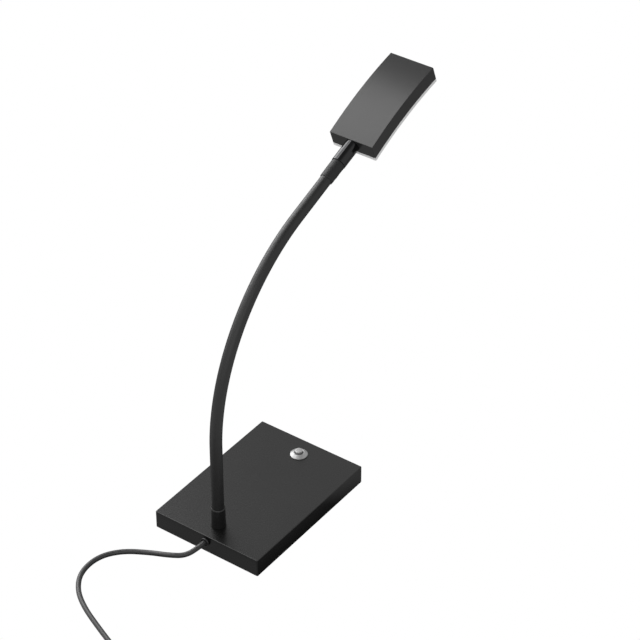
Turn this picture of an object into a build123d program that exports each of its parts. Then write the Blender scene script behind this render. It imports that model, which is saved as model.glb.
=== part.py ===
from build123d import *
import math
import os

# Gooseneck desk lamp, every piece a solid of its own. Millimetres, +Z up.
# Origin: centre of the base's underside. +X runs from the neck's foot to the push button, and the
# head reaches out that way. +Y is the lamp's left side, seen from the neck.

os.makedirs("parts", exist_ok=True)

# ---------------------------------------------------------------- driving dimensions
base_length = 180.0
base_width = 129.0
base_height = 21.1
corner_radius = 1.2
edge_break = 0.45
cover_wall = 2.0
cover_top = 2.0
pad_thickness = 0.8
pad_inset = 1.5
plate_thickness = 1.2
plate_gap = 0.3

foot_x = -69.0
neck_bore_radius = 2.8
neck_core_radius = 4.8
neck_sleeve_radius = 6.25
neck_bend_radius = 212.3
neck_upright = 99.2
neck_tilt = 20.8
neck_straight = 98.3
joint_start = 47.0
joint_pitch = 40.5
joint_count = 9
socket_clearance = 0.3

collar_radius = 7.6
collar_height = 23.8
thread_radius = 5.0
ferrule_bore = 3.0
ferrule_grip = 12.0

boot_start = 406.0
boot_end = 428.2
boot_radius = 7.3
stem_radius = 7.7
stem_thread_radius = 3.0
stem_bore = 2.0

head_length = 113.2
head_width = 51.5
head_thickness = 16.2
head_rise = 3.8
head_top_above_axis = 8.2
head_wall = 1.8
head_skin = 2.0
head_end_wall = 2.4
head_edge_break = 0.5
diffuser_thickness = 4.0
diffuser_lip = 1.4

button_x = 67.7
bezel_radius = 9.2
bezel_ring_radius = 5.4
bezel_rise = 3.3
barrel_radius = 7.9
button_radius = 4.1
button_rise = 6.0

cord_diameter = 5.3
gland_z = 13.9
gland_flange_radius = 4.8

driver_length = 76.0
driver_width = 38.0
driver_height = 13.5
driver_x = 6.0
driver_y = 34.0
block_x = -52.0
block_y = 34.0
block_size = (10.0, 24.0, 10.0)

# ---------------------------------------------------------------- derived levels
cord_radius = cord_diameter / 2
slip = 0.05
cover_bottom = pad_thickness
inner_floor = pad_thickness + plate_thickness
inner_ceiling = base_height - cover_top
inner_length = base_length - 2 * cover_wall
inner_width = base_width - 2 * cover_wall
collar_top = base_height + collar_height


# ---------------------------------------------------------------- helpers
def save(name, shape):
    """Write one node to its own STEP file."""
    export_step(shape, f"parts/{name}.step")


def group(solids):
    """Several separate solids that share one node."""
    return Compound(children=list(solids))


def block(x0, x1, y0, y1, z0, z1):
    """Box between two corners."""
    centre = Pos((x0 + x1) / 2, (y0 + y1) / 2, (z0 + z1) / 2)
    return centre * Box(x1 - x0, y1 - y0, z1 - z0)


def rod(x, y, z0, z1, radius):
    """Upright cylinder between two heights."""
    return Pos(x, y, (z0 + z1) / 2) * Cylinder(radius, z1 - z0)


def ring(x, y, z0, z1, outer, inner):
    """Upright tube between two heights."""
    return rod(x, y, z0, z1, outer) - rod(x, y, z0 - 1, z1 + 1, inner)


def hexagon(x, y, z0, z1, across_flats):
    """Upright hexagonal prism."""
    sketch = RegularPolygon(across_flats / 2, 6, major_radius=False)
    return Pos(x, y, z0) * extrude(sketch, z1 - z0)


def turned(points, axis=Axis.Z):
    """Solid of revolution from (radius, height) points of its half section."""
    section = Plane.XZ * make_face(Polyline(*points, close=True))
    return revolve(section, axis)


def tube_along(points, radii, radius):
    """Round rod along straight runs that are joined by tangent arcs."""
    path = FilletPolyline(*points, radius=radii)
    start = Vector(*points[0])
    heading = Vector(*points[1]) - start
    section = Plane(origin=start, z_dir=heading) * Circle(radius)
    return sweep(section, path)


def arc_radii(points):
    """Largest arc for each corner: 0.45 of the shorter run, over the tangent of half the turn."""
    corners = [Vector(*point) for point in points]
    radii = []
    for before, here, after in zip(corners, corners[1:], corners[2:]):
        run_in, run_out = here - before, after - here
        half_turn = math.radians(run_in.get_angle(run_out)) / 2
        shorter = min(run_in.length, run_out.length)
        radii.append(0.45 * shorter / math.tan(half_turn))
    return radii


def lead(points, radius):
    """Thin wire whose bends are as wide as its route allows."""
    return tube_along(points, arc_radii(points), radius)


# ---------------------------------------------------------------- neck centreline
bend_angle = math.radians(90 - neck_tilt)
bend_length = neck_bend_radius * bend_angle
neck_length = neck_upright + bend_length + neck_straight


def neck_angle(station):
    """Lean from the vertical at a distance along the neck, in radians."""
    return min(max(station - neck_upright, 0) / neck_bend_radius, bend_angle)


def neck_point(station):
    """Centreline point at a distance from the top of the base."""
    lean = neck_angle(station)
    x = foot_x + neck_bend_radius * (1 - math.cos(lean))
    z = base_height + min(station, neck_upright) + neck_bend_radius * math.sin(lean)
    beyond = max(station - neck_upright - bend_length, 0)
    return Vector(x + beyond * math.sin(lean), 0, z + beyond * math.cos(lean))


def neck_plane(station):
    """Plane across the neck, its normal along the centreline towards the head."""
    lean = neck_angle(station)
    along = (math.sin(lean), 0, math.cos(lean))
    across = (math.cos(lean), 0, -math.sin(lean))
    return Plane(origin=neck_point(station), x_dir=across, z_dir=along)


def neck_path(start, end):
    """Centreline between two stations, as lines and arcs."""
    marks = [start] + [m for m in (neck_upright, neck_upright + bend_length) if start < m < end] + [end]
    edges = []
    for a, b in zip(marks, marks[1:]):
        middle = (a + b) / 2
        if neck_upright < middle < neck_upright + bend_length:
            edges.append(ThreePointArc(neck_point(a), neck_point(middle), neck_point(b)))
        else:
            edges.append(Line(neck_point(a), neck_point(b)))
    return Wire([edge.edge() for edge in edges])


def neck_rod(start, end, radius):
    """Solid rod along the centreline."""
    return sweep(neck_plane(start) * Circle(radius), neck_path(start, end))


def neck_tube(start, end, outer, inner):
    """Tube along the centreline."""
    return neck_rod(start, end, outer) - neck_rod(start, end, inner)


def dome(station, outer, inner):
    """Part of a ball on the end of a link, between two radii about the neck's axis."""
    ball = neck_sleeve_radius
    top_outer = math.sqrt(max(ball**2 - outer**2, 0))
    top_inner = math.sqrt(ball**2 - inner**2)
    middle = (outer + inner) / 2
    crown = ThreePointArc(
        (inner, top_inner), (middle, math.sqrt(ball**2 - middle**2)), (outer, top_outer)
    )
    edges = [Line((outer, 0), (inner, 0)), Line((inner, 0), (inner, top_inner)), crown]
    if top_outer > 0:
        edges.append(Line((outer, top_outer), (outer, 0)))
    section = Plane.XZ * make_face(Curve() + edges)
    return neck_plane(station).location * revolve(section, Axis.Z)


def socket(station):
    """Ball-shaped hollow that clears the link below."""
    return neck_plane(station).location * Sphere(neck_sleeve_radius + socket_clearance)


joint_stations = [joint_start + joint_pitch * i for i in range(joint_count)]


def neck_segment(index, start, end, outer, inner):
    """One link's core or sleeve: a hollow socket below, part of a ball on top."""
    piece = neck_tube(start, end, outer, inner)
    if index < joint_count:
        piece += dome(end, outer, inner)
    if index > 0:
        piece -= socket(start)
    return piece


# ---------------------------------------------------------------- base casing
screw_places = [(sx * 80.0, sy * 54.5) for sx in (-1, 1) for sy in (-1, 1)]
weight_box = (-40.0, 74.0, -59.0, 59.0)
weight_top = inner_floor + 10.0
post_places = [(-34.0, -52.0), (68.0, -52.0), (68.0, 52.0), (-34.0, -8.0)]


def base_cover():
    """Open-bottomed pressed box with screw bosses and posts that hold the weight down."""
    half_l, half_w = base_length / 2, base_width / 2
    shell = block(-half_l, half_l, -half_w, half_w, cover_bottom, base_height)
    shell = fillet(shell.edges().filter_by(Axis.Z), corner_radius)
    shell = chamfer(shell.faces().sort_by(Axis.Z)[-1].edges(), edge_break)
    hollow_l, hollow_w = inner_length / 2, inner_width / 2
    shell -= block(-hollow_l, hollow_l, -hollow_w, hollow_w, 0, inner_ceiling)
    for x, y in screw_places:
        shell += ring(x, y, inner_floor, inner_ceiling, 4.0, 1.3)
    for x, y in post_places:
        shell += rod(x, y, weight_top, inner_ceiling, 3.0)
    shell -= rod(foot_x, 0, inner_ceiling - 1, base_height + 1, thread_radius + 0.1)
    shell -= rod(button_x, 0, inner_ceiling - 1, base_height + 1, barrel_radius + 0.1)
    gland_hole = Rot(0, 90, 0) * Cylinder(4.0, 6)
    return shell - Pos(-half_l, 0, gland_z) * gland_hole


def base_weight():
    """L-shaped ballast with a round notch for the switch."""
    x0, x1, y0, y1 = weight_box
    slab = block(x0, x1, y0, y1, inner_floor, weight_top)
    slab -= block(x0 - 1, 50.0, 10.0, y1 + 1, 0, base_height)
    slab = fillet(slab.edges().filter_by(Axis.Z), 2.0)
    return slab - rod(button_x, 0, 0, base_height, 11.0)


def bottom_plate():
    """Sheet that closes the base, countersunk for its screws."""
    half_l, half_w = inner_length / 2 - plate_gap, inner_width / 2 - plate_gap
    sheet = block(-half_l, half_l, -half_w, half_w, cover_bottom, inner_floor)
    for x, y in screw_places:
        sheet -= rod(x, y, 0, base_height, 1.6)
        sheet -= Pos(x, y, cover_bottom + 0.6) * Cone(2.9, 1.6, plate_thickness)
    return sheet


def bottom_screw(x, y):
    """Countersunk self-tapping screw with a cross recess."""
    half_section = [(0, 0.8), (2.85, 0.8), (1.25, 2.0), (1.25, 10.0), (0, 11.0)]
    screw = turned(half_section)
    for turn in (0, 90):
        screw -= Rot(0, 0, turn) * block(-1.6, 1.6, -0.3, 0.3, 0.5, 1.5)
    return Pos(x, y, 0) * screw


def anti_slip_pad():
    """Foam sheet under the whole base."""
    half_l, half_w = base_length / 2 - pad_inset, base_width / 2 - pad_inset
    pad = block(-half_l, half_l, -half_w, half_w, 0, pad_thickness)
    return fillet(pad.edges().filter_by(Axis.Z), corner_radius)


# ---------------------------------------------------------------- push switch
barrel_bottom = 9.5
button_shaft_bottom = 17.5
shoulder_z = 20.3


def switch_barrel():
    """Threaded barrel and its raised bezel, turned from one bar."""
    top = base_height
    half_section = [
        (button_radius + 0.35, top + bezel_rise),
        (bezel_ring_radius, top + bezel_rise),
        (bezel_radius, top + 0.7),
        (bezel_radius, top),
        (8.9, top),
        (8.9, top + 0.4),
        (8.1, top + 0.4),
        (8.1, top),
        (barrel_radius, top),
        (barrel_radius, barrel_bottom),
        (6.5, barrel_bottom),
        (6.5, shoulder_z),
        (button_radius + 0.35, shoulder_z),
    ]
    return Pos(button_x, 0, 0) * turned(half_section)


def switch_button():
    """Domed cap on a flanged shaft, which stops it under the bezel."""
    top = base_height + button_rise
    half_section = [
        (0, top),
        (2.4, top - 0.12),
        (3.4, top - 0.4),
        (button_radius, top - 1.0),
        (button_radius, shoulder_z - 0.02),
        (6.0, shoulder_z - 0.02),
        (6.0, shoulder_z - 1.2),
        (2.0, shoulder_z - 1.2),
        (2.0, button_shaft_bottom),
        (0, button_shaft_bottom),
    ]
    return Pos(button_x, 0, 0) * turned(half_section)


contact_block_top = 12.5
terminal_places = (-2.6, 2.6)


def switch_spring():
    """Return spring between the contact block and the button's flange."""
    low, high, wire, coil = contact_block_top, shoulder_z - 1.22, 0.3, 3.6
    turns = 4
    helix = Helix(pitch=(high - low - 2 * wire) / turns, height=high - low - 2 * wire, radius=coil)
    start = helix @ 0
    section = Plane(origin=start, z_dir=helix % 0) * Circle(wire)
    return Pos(button_x, 0, low + wire) * sweep(section, helix, is_frenet=True)


def switch_contact_block():
    """Moulded block that holds the contacts, pressed up into the barrel."""
    body = rod(button_x, 0, 4.6, contact_block_top, 6.4)
    body += rod(button_x, 0, 4.6, barrel_bottom - slip, 7.4)
    body -= rod(button_x, 0, contact_block_top - 3.0, contact_block_top + 1, 2.4)
    for y in terminal_places:
        body -= switch_terminal(y)
    return body


def switch_terminal(y):
    """Solder tag out of the side of the contact block."""
    tag = block(button_x - 9.4, button_x - 6.6, y - 1.2, y + 1.2, 6.6, 7.2)
    return tag - rod(button_x - 8.6, y, 6, 8, 0.5)


# ---------------------------------------------------------------- driver and wiring
def driver_case():
    """Open tray with wire holes in both ends and rests for the board."""
    half_l, half_w = driver_length / 2, driver_width / 2
    floor = inner_floor
    tray = block(-half_l, half_l, -half_w, half_w, floor, floor + driver_height)
    wall = 1.2
    tray -= block(-half_l + wall, half_l - wall, -half_w + wall, half_w - wall, floor + wall, 40)
    for sx in (-1, 1):
        for sy in (-1, 1):
            tray += rod(sx * (half_l - 5), sy * (half_w - 5), floor + wall, floor + 3.2, 2.0)
    for y in (-10.0, 6.0):
        tray -= Pos(-half_l, y, 9.5) * Rot(0, 90, 0) * Cylinder(2.0, 4)
    tray -= Pos(half_l, -6.0, 9.5) * Rot(0, 90, 0) * Cylinder(1.2, 4)
    return Pos(driver_x, driver_y, 0) * tray


board_z = inner_floor + 3.2
board_top = board_z + 1.6


def driver_board():
    """Circuit board on the tray's rests."""
    half_l, half_w = driver_length / 2 - 1.6, driver_width / 2 - 1.6
    return Pos(driver_x, driver_y, 0) * block(-half_l, half_l, -half_w, half_w, board_z, board_top)


def driver_transformer():
    """Ferrite core around a wound bobbin."""
    bobbin = block(-5.5, 5.5, -8.0, 8.0, board_top, board_top + 7.0)
    core = block(-9.0, 9.0, -5.0, 5.0, board_top + 1.0, board_top + 8.0)
    return Pos(driver_x + 6, driver_y, 0) * (bobbin + core)


def driver_capacitor(x, radius, length):
    """Round capacitor lying on the board."""
    can = Rot(90, 0, 0) * Cylinder(radius, length)
    return Pos(driver_x + x, driver_y, board_top + radius) * fillet(can.edges(), 0.5)


def terminal_block():
    """Three-way block, wires in from both sides and screws from above."""
    dx, dy, dz = block_size
    body = block(-dx / 2, dx / 2, -dy / 2, dy / 2, inner_floor, inner_floor + dz)
    for y in (-7.0, 0.0, 7.0):
        body -= Pos(0, y, inner_floor + 5.0) * Rot(0, 90, 0) * Cylinder(1.5, dx + 2)
        for x in (-2.6, 2.6):
            body -= rod(x, y, inner_floor + 5.0, inner_floor + dz + 1, 1.4)
    return Pos(block_x, block_y, 0) * body


def terminal_screw(x, y):
    """Slotted grub screw of the terminal block."""
    low = inner_floor + 6.1
    screw = rod(0, 0, low, low + 3.4, 1.3)
    screw -= block(-1.5, 1.5, -0.2, 0.2, low + 2.7, low + 4)
    return Pos(block_x + x, block_y + y, 0) * screw


def cord_gland():
    """Moulded bush that grips the cord in the cover's short side."""
    face = -base_length / 2
    bore = cord_radius + slip
    half_section = [
        (bore, -face + 5.2),
        (3.4, -face + 5.2),
        (4.1, -face + 2.6),
        (gland_flange_radius - 0.4, -face + 2.6),
        (gland_flange_radius, -face + 2.1),
        (gland_flange_radius, -face),
        (3.95, -face),
        (3.95, -face - cover_wall),
        (4.6, -face - cover_wall),
        (4.3, -face - 5.5),
        (bore, -face - 5.5),
    ]
    return Pos(0, 0, gland_z) * Rot(0, -90, 0) * turned(half_section)


terminal_z = inner_floor + 5.0
near_pole, far_pole = block_y - 7.0, block_y + 7.0
supply_routes = (
    [(-88.5, 1.2, gland_z), (-82.5, 1.2, gland_z), (-77.5, 7.0, 11.5), (-71.0, 19.0, 8.6),
     (-63.0, near_pole, terminal_z), (-53.0, near_pole, terminal_z)],
    [(-88.5, -1.2, gland_z), (-83.0, -1.2, gland_z), (-79.5, 4.0, 8.4), (-76.0, 19.0, 6.0),
     (-71.0, 35.0, 6.2), (-63.0, far_pole, terminal_z), (-53.0, far_pole, terminal_z)],
)
internal_routes = (
    [(59.1, -2.6, 7.6), (59.1, -1.0, 13.8), (30.0, 3.5, 14.2), (-20.0, 4.5, 14.2), (-35.0, 13.0, 13.6),
     (-42.0, 25.0, 12.6), (-43.0, near_pole, terminal_z), (-51.0, near_pole, terminal_z)],
    [(59.1, 2.6, 7.6), (58.0, 5.0, 13.6), (52.0, 14.0, 13.8), (47.2, 23.0, 13.4), (47.2, 28.0, 9.5),
     (40.5, 28.0, 9.5)],
    [(-51.0, far_pole, terminal_z), (-43.0, far_pole, terminal_z), (-36.0, 40.0, 9.5), (-28.5, 40.0, 9.5)],
)

lamp_lead_radius = 1.7
neck_corner_z = base_height + neck_upright + neck_bend_radius * math.tan(bend_angle / 2)
lamp_lead_end = neck_length + 24.0
lamp_lead_route = [
    (-28.0, 24.0, 9.5),
    (-37.0, 24.0, 9.5),
    (-48.0, 16.0, 6.4),
    (-59.0, 6.5, 5.2),
    (foot_x, 0.0, 5.4),
    (foot_x, 0.0, neck_corner_z),
    tuple(neck_point(lamp_lead_end)),
]


def lamp_lead():
    """Two-core lead from the driver up through the neck and the stem into the head."""
    radii = arc_radii(lamp_lead_route)
    radii[-1] = neck_bend_radius
    return tube_along(lamp_lead_route, radii, lamp_lead_radius)


# ---------------------------------------------------------------- neck foot and top fittings
ferrule_bottom = 12.5
core_start = 4.0


def neck_collar():
    """Turned sleeve over the neck's foot, bevelled at its rim."""
    outer, inner = collar_radius, neck_sleeve_radius + slip
    half_section = [
        (inner, base_height),
        (outer, base_height),
        (outer, collar_top - 1.3),
        (outer - 0.8, collar_top),
        (inner, collar_top),
    ]
    return Pos(foot_x, 0, 0) * turned(half_section)


def neck_ferrule():
    """Threaded foot of the neck with a cup that is crimped on the core."""
    grip_top = base_height + core_start + ferrule_grip
    half_section = [
        (ferrule_bore, ferrule_bottom),
        (thread_radius, ferrule_bottom),
        (thread_radius, base_height),
        (neck_sleeve_radius, base_height),
        (neck_sleeve_radius, grip_top),
        (neck_core_radius + slip, grip_top),
        (neck_core_radius + slip, base_height + core_start),
        (ferrule_bore, base_height + core_start),
    ]
    return Pos(foot_x, 0, 0) * turned(half_section)


def neck_nut():
    """Thin hexagon nut under the cover."""
    body = hexagon(foot_x, 0, inner_ceiling - 4.0, inner_ceiling - 0.8, 14.0)
    return body - rod(foot_x, 0, 0, base_height, thread_radius + slip)


def sleeve_boot():
    """Wider shrunk-on sleeve over the joint of neck and stem."""
    return neck_tube(boot_start, boot_end, boot_radius, neck_sleeve_radius + slip)


stem_grip_start = 416.0
core_end = 430.0


def head_stem():
    """Polished ferrule: cup on the core, bare shank, thread into the head."""
    grip = stem_grip_start - boot_end
    core = core_end - boot_end
    shank = neck_length - boot_end
    half_section = [
        (neck_core_radius + slip, grip),
        (neck_sleeve_radius, grip),
        (neck_sleeve_radius, 0),
        (stem_radius, 0),
        (stem_radius, shank),
        (stem_thread_radius, shank),
        (stem_thread_radius, shank + head_end_wall + 4.0),
        (stem_bore, shank + head_end_wall + 4.0),
        (stem_bore, core),
        (neck_core_radius + slip, core),
    ]
    return neck_plane(boot_end).location * turned(half_section)


# ---------------------------------------------------------------- lamp head
head_frame = Plane(
    origin=neck_point(neck_length),
    x_dir=(math.cos(math.radians(neck_tilt)), 0, math.sin(math.radians(neck_tilt))),
    z_dir=(-math.sin(math.radians(neck_tilt)), 0, math.cos(math.radians(neck_tilt))),
)
head_place = head_frame.location
head_bottom = head_top_above_axis - head_thickness
board_length, board_width, board_skin = 94.0, 43.0, 1.2
board_start = 12.0
led_board_top = -lamp_lead_radius
led_board_bottom = led_board_top - board_skin
led_size = (3.5, 2.8, 0.7)
led_columns, led_rows = 10, 5
board_screw_places = [(u, w) for u in (21.4, 96.6) for w in (-17.2, 17.2)]


def arched_slab(u0, u1, half_width, low, high):
    """Slab that follows the head's arch, between two heights given at its ends."""

    def arch(u):
        return head_rise * (1 - (2 * u / head_length - 1) ** 2)

    middle = (u0 + u1) / 2
    lower = ThreePointArc((u0, low + arch(u0)), (middle, low + arch(middle)), (u1, low + arch(u1)))
    upper = ThreePointArc((u1, high + arch(u1)), (middle, high + arch(middle)), (u0, high + arch(u0)))
    right = Line(lower @ 1, upper @ 0)
    left = Line(upper @ 1, lower @ 0)
    section = Plane.XZ * make_face(Curve() + [lower, right, upper, left])
    return extrude(section, half_width, both=True)


def head_housing():
    """Arched shell, open below, with bosses for the LED board and a hole for the stem."""
    half = head_width / 2
    shell = arched_slab(0, head_length, half, head_bottom, head_top_above_axis)
    top_edges = shell.faces().sort_by(Axis.Z)[-1].edges()
    shell = chamfer(top_edges, head_edge_break)
    roof = head_top_above_axis - head_skin
    hollow = arched_slab(head_end_wall, head_length - head_wall, half - head_wall, head_bottom - 6, roof)
    shell -= hollow
    for u, w in board_screw_places:
        shell += rod(u, w, led_board_top, head_top_above_axis + 1.2, 3.0)
        shell -= rod(u, w, led_board_top - 1, 4.5, 1.15)
    shell -= Rot(0, 90, 0) * Cylinder(stem_thread_radius + slip, 8)
    return head_place * shell


def diffuser_plate():
    """Frosted plate that closes the head, with a lip inside the shell's walls."""
    half = head_width / 2
    low = head_bottom - diffuser_thickness
    plate = arched_slab(0, head_length, half, low, head_bottom)
    inset = head_wall + 0.1
    u0, u1 = head_end_wall + 0.1, head_length - inset
    lip = arched_slab(u0, u1, half - inset, head_bottom - 0.5, head_bottom + diffuser_lip)
    wall = 1.2
    lip -= arched_slab(u0 + wall, u1 - wall, half - inset - wall, head_bottom - 2, head_bottom + 4)
    return head_place * (plate + lip)


def led_places():
    """Centres of the LED chips on the board, in the head's frame."""
    for column in range(led_columns):
        u = board_start + board_length * (column + 0.5) / led_columns
        for row in range(led_rows):
            yield u, board_width * ((row + 0.5) / led_rows - 0.5)


def led_board():
    """Aluminium-backed board, screwed to the shell's bosses."""
    half = board_width / 2
    u1 = board_start + board_length
    sheet = block(board_start, u1, -half, half, led_board_bottom, led_board_top)
    for u, w in board_screw_places:
        sheet -= rod(u, w, -20, 20, 1.4)
    return head_place * sheet


def led_chips():
    """All the LED packages under the board."""
    du, dw, dv = led_size
    chips = []
    for u, w in led_places():
        chip = block(u - du / 2, u + du / 2, w - dw / 2, w + dw / 2, led_board_bottom - dv, led_board_bottom)
        chips.append(head_place * chip)
    return group(chips)


def reflector_sheet():
    """White sheet under the board with a window for each LED and screw head."""
    du, dw, _ = led_size
    margin = 0.3
    half = board_width / 2 - 0.5
    u0, u1 = board_start + 0.5, board_start + board_length - 0.5
    sheet = block(u0, u1, -half, half, led_board_bottom - 0.4, led_board_bottom)
    windows = [
        block(u - du / 2 - margin, u + du / 2 + margin, w - dw / 2 - margin, w + dw / 2 + margin, -20, 20)
        for u, w in led_places()
    ]
    screw_windows = [rod(u, w, -20, 20, 2.4) for u, w in board_screw_places]
    return head_place * (sheet - windows - screw_windows)


def board_screw(u, w):
    """Pan-head screw that holds the LED board."""
    head = rod(u, w, led_board_bottom - 1.0, led_board_bottom, 2.1)
    head -= block(u - 1.3, u + 1.3, w - 0.25, w + 0.25, led_board_bottom - 2, led_board_bottom - 0.5)
    return head_place * (head + rod(u, w, led_board_bottom - 0.1, 4.0, 1.1))


def stem_nut():
    """Thin nut that holds the stem in the head's end wall."""
    start = head_end_wall
    body = hexagon(0, 0, start, start + 2.6, 8.0) - rod(0, 0, 0, 20, stem_thread_radius + slip)
    return neck_plane(neck_length).location * (Rot(0, 0, 90) * body)


# ---------------------------------------------------------------- mains cord
cord_route = [
    (-88.5, 0.0, gland_z),
    (-101.0, 0.0, gland_z),
    (-115.0, 6.4, 9.5),
    (-123.8, 20.7, 9.1),
    (-126.6, 43.9, cord_radius),
    (-140.7, 67.3, cord_radius),
    (-161.6, 81.4, cord_radius),
    (-188.7, 80.8, cord_radius),
    (-210.2, 67.0, cord_radius),
    (-226.0, 44.8, cord_radius),
    (-240.6, 12.8, cord_radius),
    (-253.2, -16.9, cord_radius),
    (-268.0, -47.0, cord_radius),
]
coil_turn_pitch = 5.4
coil_inner_turn = 22.3
coil_columns = 4
coil_layers = 2
coil_layer_pitch = cord_diameter
coil_outer_turn = coil_inner_turn + coil_turn_pitch * (coil_columns - 1)
coil_entry = Vector(*cord_route[-1])
coil_heading = (coil_entry - Vector(*cord_route[-2])).normalized()
coil_side = Vector(coil_heading.Y, -coil_heading.X, 0)
coil_centre = coil_entry + coil_side * coil_outer_turn
coil_height = cord_diameter + coil_layer_pitch * (coil_layers - 1)
coil_reach_in = coil_inner_turn - cord_radius
coil_reach_out = coil_outer_turn + cord_radius
tie_thickness = 0.8
tie_width = 4.5
tie_angle = 205.0


def coil_body():
    """Outer shape of the wound cord, before the tie is let in."""
    x, y = coil_centre.X, coil_centre.Y
    body = ring(x, y, 0, coil_height, coil_reach_out, coil_reach_in)
    return fillet(body.edges().filter_by(GeomType.CIRCLE), 1.5)


def cord_tie():
    """Strap round the turns, with its twisted end outside."""
    half = tie_width / 2
    low_r, high_r = coil_reach_in - tie_thickness, coil_reach_out + tie_thickness
    strap = block(low_r, high_r, -half, half, 0, coil_height + tie_thickness)
    strap -= block(
        coil_reach_in, coil_reach_out, -half - 1, half + 1, tie_thickness, coil_height
    )
    strap += block(high_r - 0.1, high_r + 3.0, -1.4, 1.4, 3.0, 7.0)
    return Pos(coil_centre.X, coil_centre.Y, 0) * Rot(0, 0, tie_angle) * strap


plug_half_height = 6.85
plug_half_width = 17.65
plug_body_length = 36.0
relief_length = 24.0
relief_start = 15.0
pin_length = 19.0
pin_spacing = 18.6
pin_radius = 2.0
plug_face = relief_start + relief_length + plug_body_length
plug_origin = coil_entry + coil_heading * plug_face
plug_place = Plane(
    origin=(plug_origin.X, plug_origin.Y, plug_half_height),
    x_dir=(coil_heading.X, coil_heading.Y, 0),
    z_dir=(0, 0, 1),
).location


def plug_pin(y):
    """Round contact pin with a rounded tip, anchored inside the body."""
    pin = Pos(pin_length / 2 - 4, y, 0) * Rot(0, 90, 0) * Cylinder(pin_radius, pin_length + 8)
    tip = pin.faces().sort_by(Axis.X)[-1].edges()
    return fillet(tip, 1.4)


def plug_body():
    """Flat two-pin plug moulded on the cord, with a tapered strain relief."""
    length, half = plug_body_length, plug_half_width
    outline = Polyline(
        (0, -half), (0, half), (-11, half), (-25, 10.0), (-length, 6.0),
        (-length, -6.0), (-25, -10.0), (-11, -half), close=True,
    )
    body = extrude(Pos(0, 0, -plug_half_height) * make_face(outline), 2 * plug_half_height)
    body = fillet(body.edges().filter_by(Axis.Z), 2.5)
    body = chamfer(body.faces().sort_by(Axis.Z)[-1].edges(), 1.0)
    body = chamfer(body.faces().sort_by(Axis.Z)[0].edges(), 1.0)
    relief = Pos(-length - relief_length / 2, 0, 0) * Rot(0, 90, 0) * Cone(3.3, 4.8, relief_length)
    body += relief
    for step in range(4):
        x = -length - 5.0 - 4.0 * step
        body -= Pos(x, 0, 0) * Rot(0, 90, 0) * (Cylinder(8, 1.0) - Cylinder(4.0 - 0.2 * step, 2))
    for y in (-pin_spacing / 2, pin_spacing / 2):
        body -= plug_pin(y)
    return body


# ---------------------------------------------------------------- write every node
save("base_cover", base_cover())
save("base_weight", base_weight())
save("bottom_plate", bottom_plate())
save("bottom_screws", group(bottom_screw(x, y) for x, y in screw_places))
save("anti_slip_pad", anti_slip_pad())

save("switch_barrel", switch_barrel())
save("switch_seal", ring(button_x, 0, base_height, base_height + 0.4, 8.9 - slip, 8.1 + slip))
nut = hexagon(button_x, 0, inner_ceiling - 3.0, inner_ceiling, 19.0)
save("switch_nut", nut - rod(button_x, 0, 0, base_height, barrel_radius + slip))
save("switch_button", switch_button())
save("switch_spring", switch_spring())
save("switch_contact_block", switch_contact_block())
save("switch_terminals", group(switch_terminal(y) for y in terminal_places))

save("driver_case", driver_case())
save("driver_board", driver_board())
save("driver_transformer", driver_transformer())
save("driver_capacitors", group([driver_capacitor(-14, 4.0, 15.0), driver_capacitor(25, 3.4, 12.0)]))
save("terminal_block", terminal_block())
save("terminal_screws", group(terminal_screw(x, y) for x in (-2.6, 2.6) for y in (-7, 0, 7)))
save("cord_gland", cord_gland())
save("supply_cores", group(lead(route, 1.0) for route in supply_routes))
save("internal_leads", group(lead(route, 0.8) for route in internal_routes))
save("lamp_lead", lamp_lead())

save("neck_collar", neck_collar())
save("neck_ferrule", neck_ferrule())
washer_top = inner_ceiling
save("lock_washer", ring(foot_x, 0, washer_top - 0.8, washer_top, 8.5, thread_radius + slip))
save("neck_nut", neck_nut())

segment_ends = joint_stations + [stem_grip_start]
sleeve_starts = [core_start + ferrule_grip] + joint_stations
core_starts = [core_start] + joint_stations
core_ends = joint_stations + [core_end]
for i in range(joint_count + 1):
    sleeve = neck_segment(i, sleeve_starts[i], segment_ends[i], neck_sleeve_radius, neck_core_radius)
    core = neck_segment(i, core_starts[i], core_ends[i], neck_core_radius, neck_bore_radius)
    save(f"neck_sleeve_{i + 1:02d}", sleeve)
    save(f"neck_core_{i + 1:02d}", core)

save("sleeve_boot", sleeve_boot())
save("head_stem", head_stem())
save("stem_nut", stem_nut())
save("head_housing", head_housing())
save("led_board", led_board())
save("led_chips", led_chips())
save("reflector_sheet", reflector_sheet())
save("board_screws", group(board_screw(u, w) for u, w in board_screw_places))
save("diffuser_plate", diffuser_plate())

radii = arc_radii(cord_route)
cord = tube_along(cord_route, radii, cord_radius)
coil = coil_body()
tie = cord_tie()
plug = plug_place * plug_body()
save("cord_lead", cord - coil)
save("cord_coil", coil - tie)
save("cord_tie", tie)
save("plug_body", plug - coil)
save("plug_pins", group(plug_place * plug_pin(y) for y in (-pin_spacing / 2, pin_spacing / 2)))

# ---------------------------------------------------------------- figures for a check by eye
path_length = FilletPolyline(*cord_route, radius=radii).length
coil_turn_sum = sum(coil_inner_turn + coil_turn_pitch * i for i in range(coil_columns))
print("cord radii", [round(radius, 1) for radius in radii])
print("cord tube length", round(path_length, 1), "volume", round(cord.volume, 1),
      "section x length", round(math.pi * cord_radius**2 * path_length, 1))
print("cord in coil", round(2 * math.pi * coil_turn_sum * coil_layers, 1))
print("coil centre", coil_centre)
print("lamp lead radii", [round(radius, 1) for radius in arc_radii(lamp_lead_route)])
print("joint stations", [round(s, 1) for s in joint_stations])
for station in joint_stations:
    print("joint", [round(value, 2) for value in neck_point(station)],
          "lean", round(math.degrees(neck_angle(station)), 2))
print("head near end", [round(value, 2) for value in neck_point(neck_length)])
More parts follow.
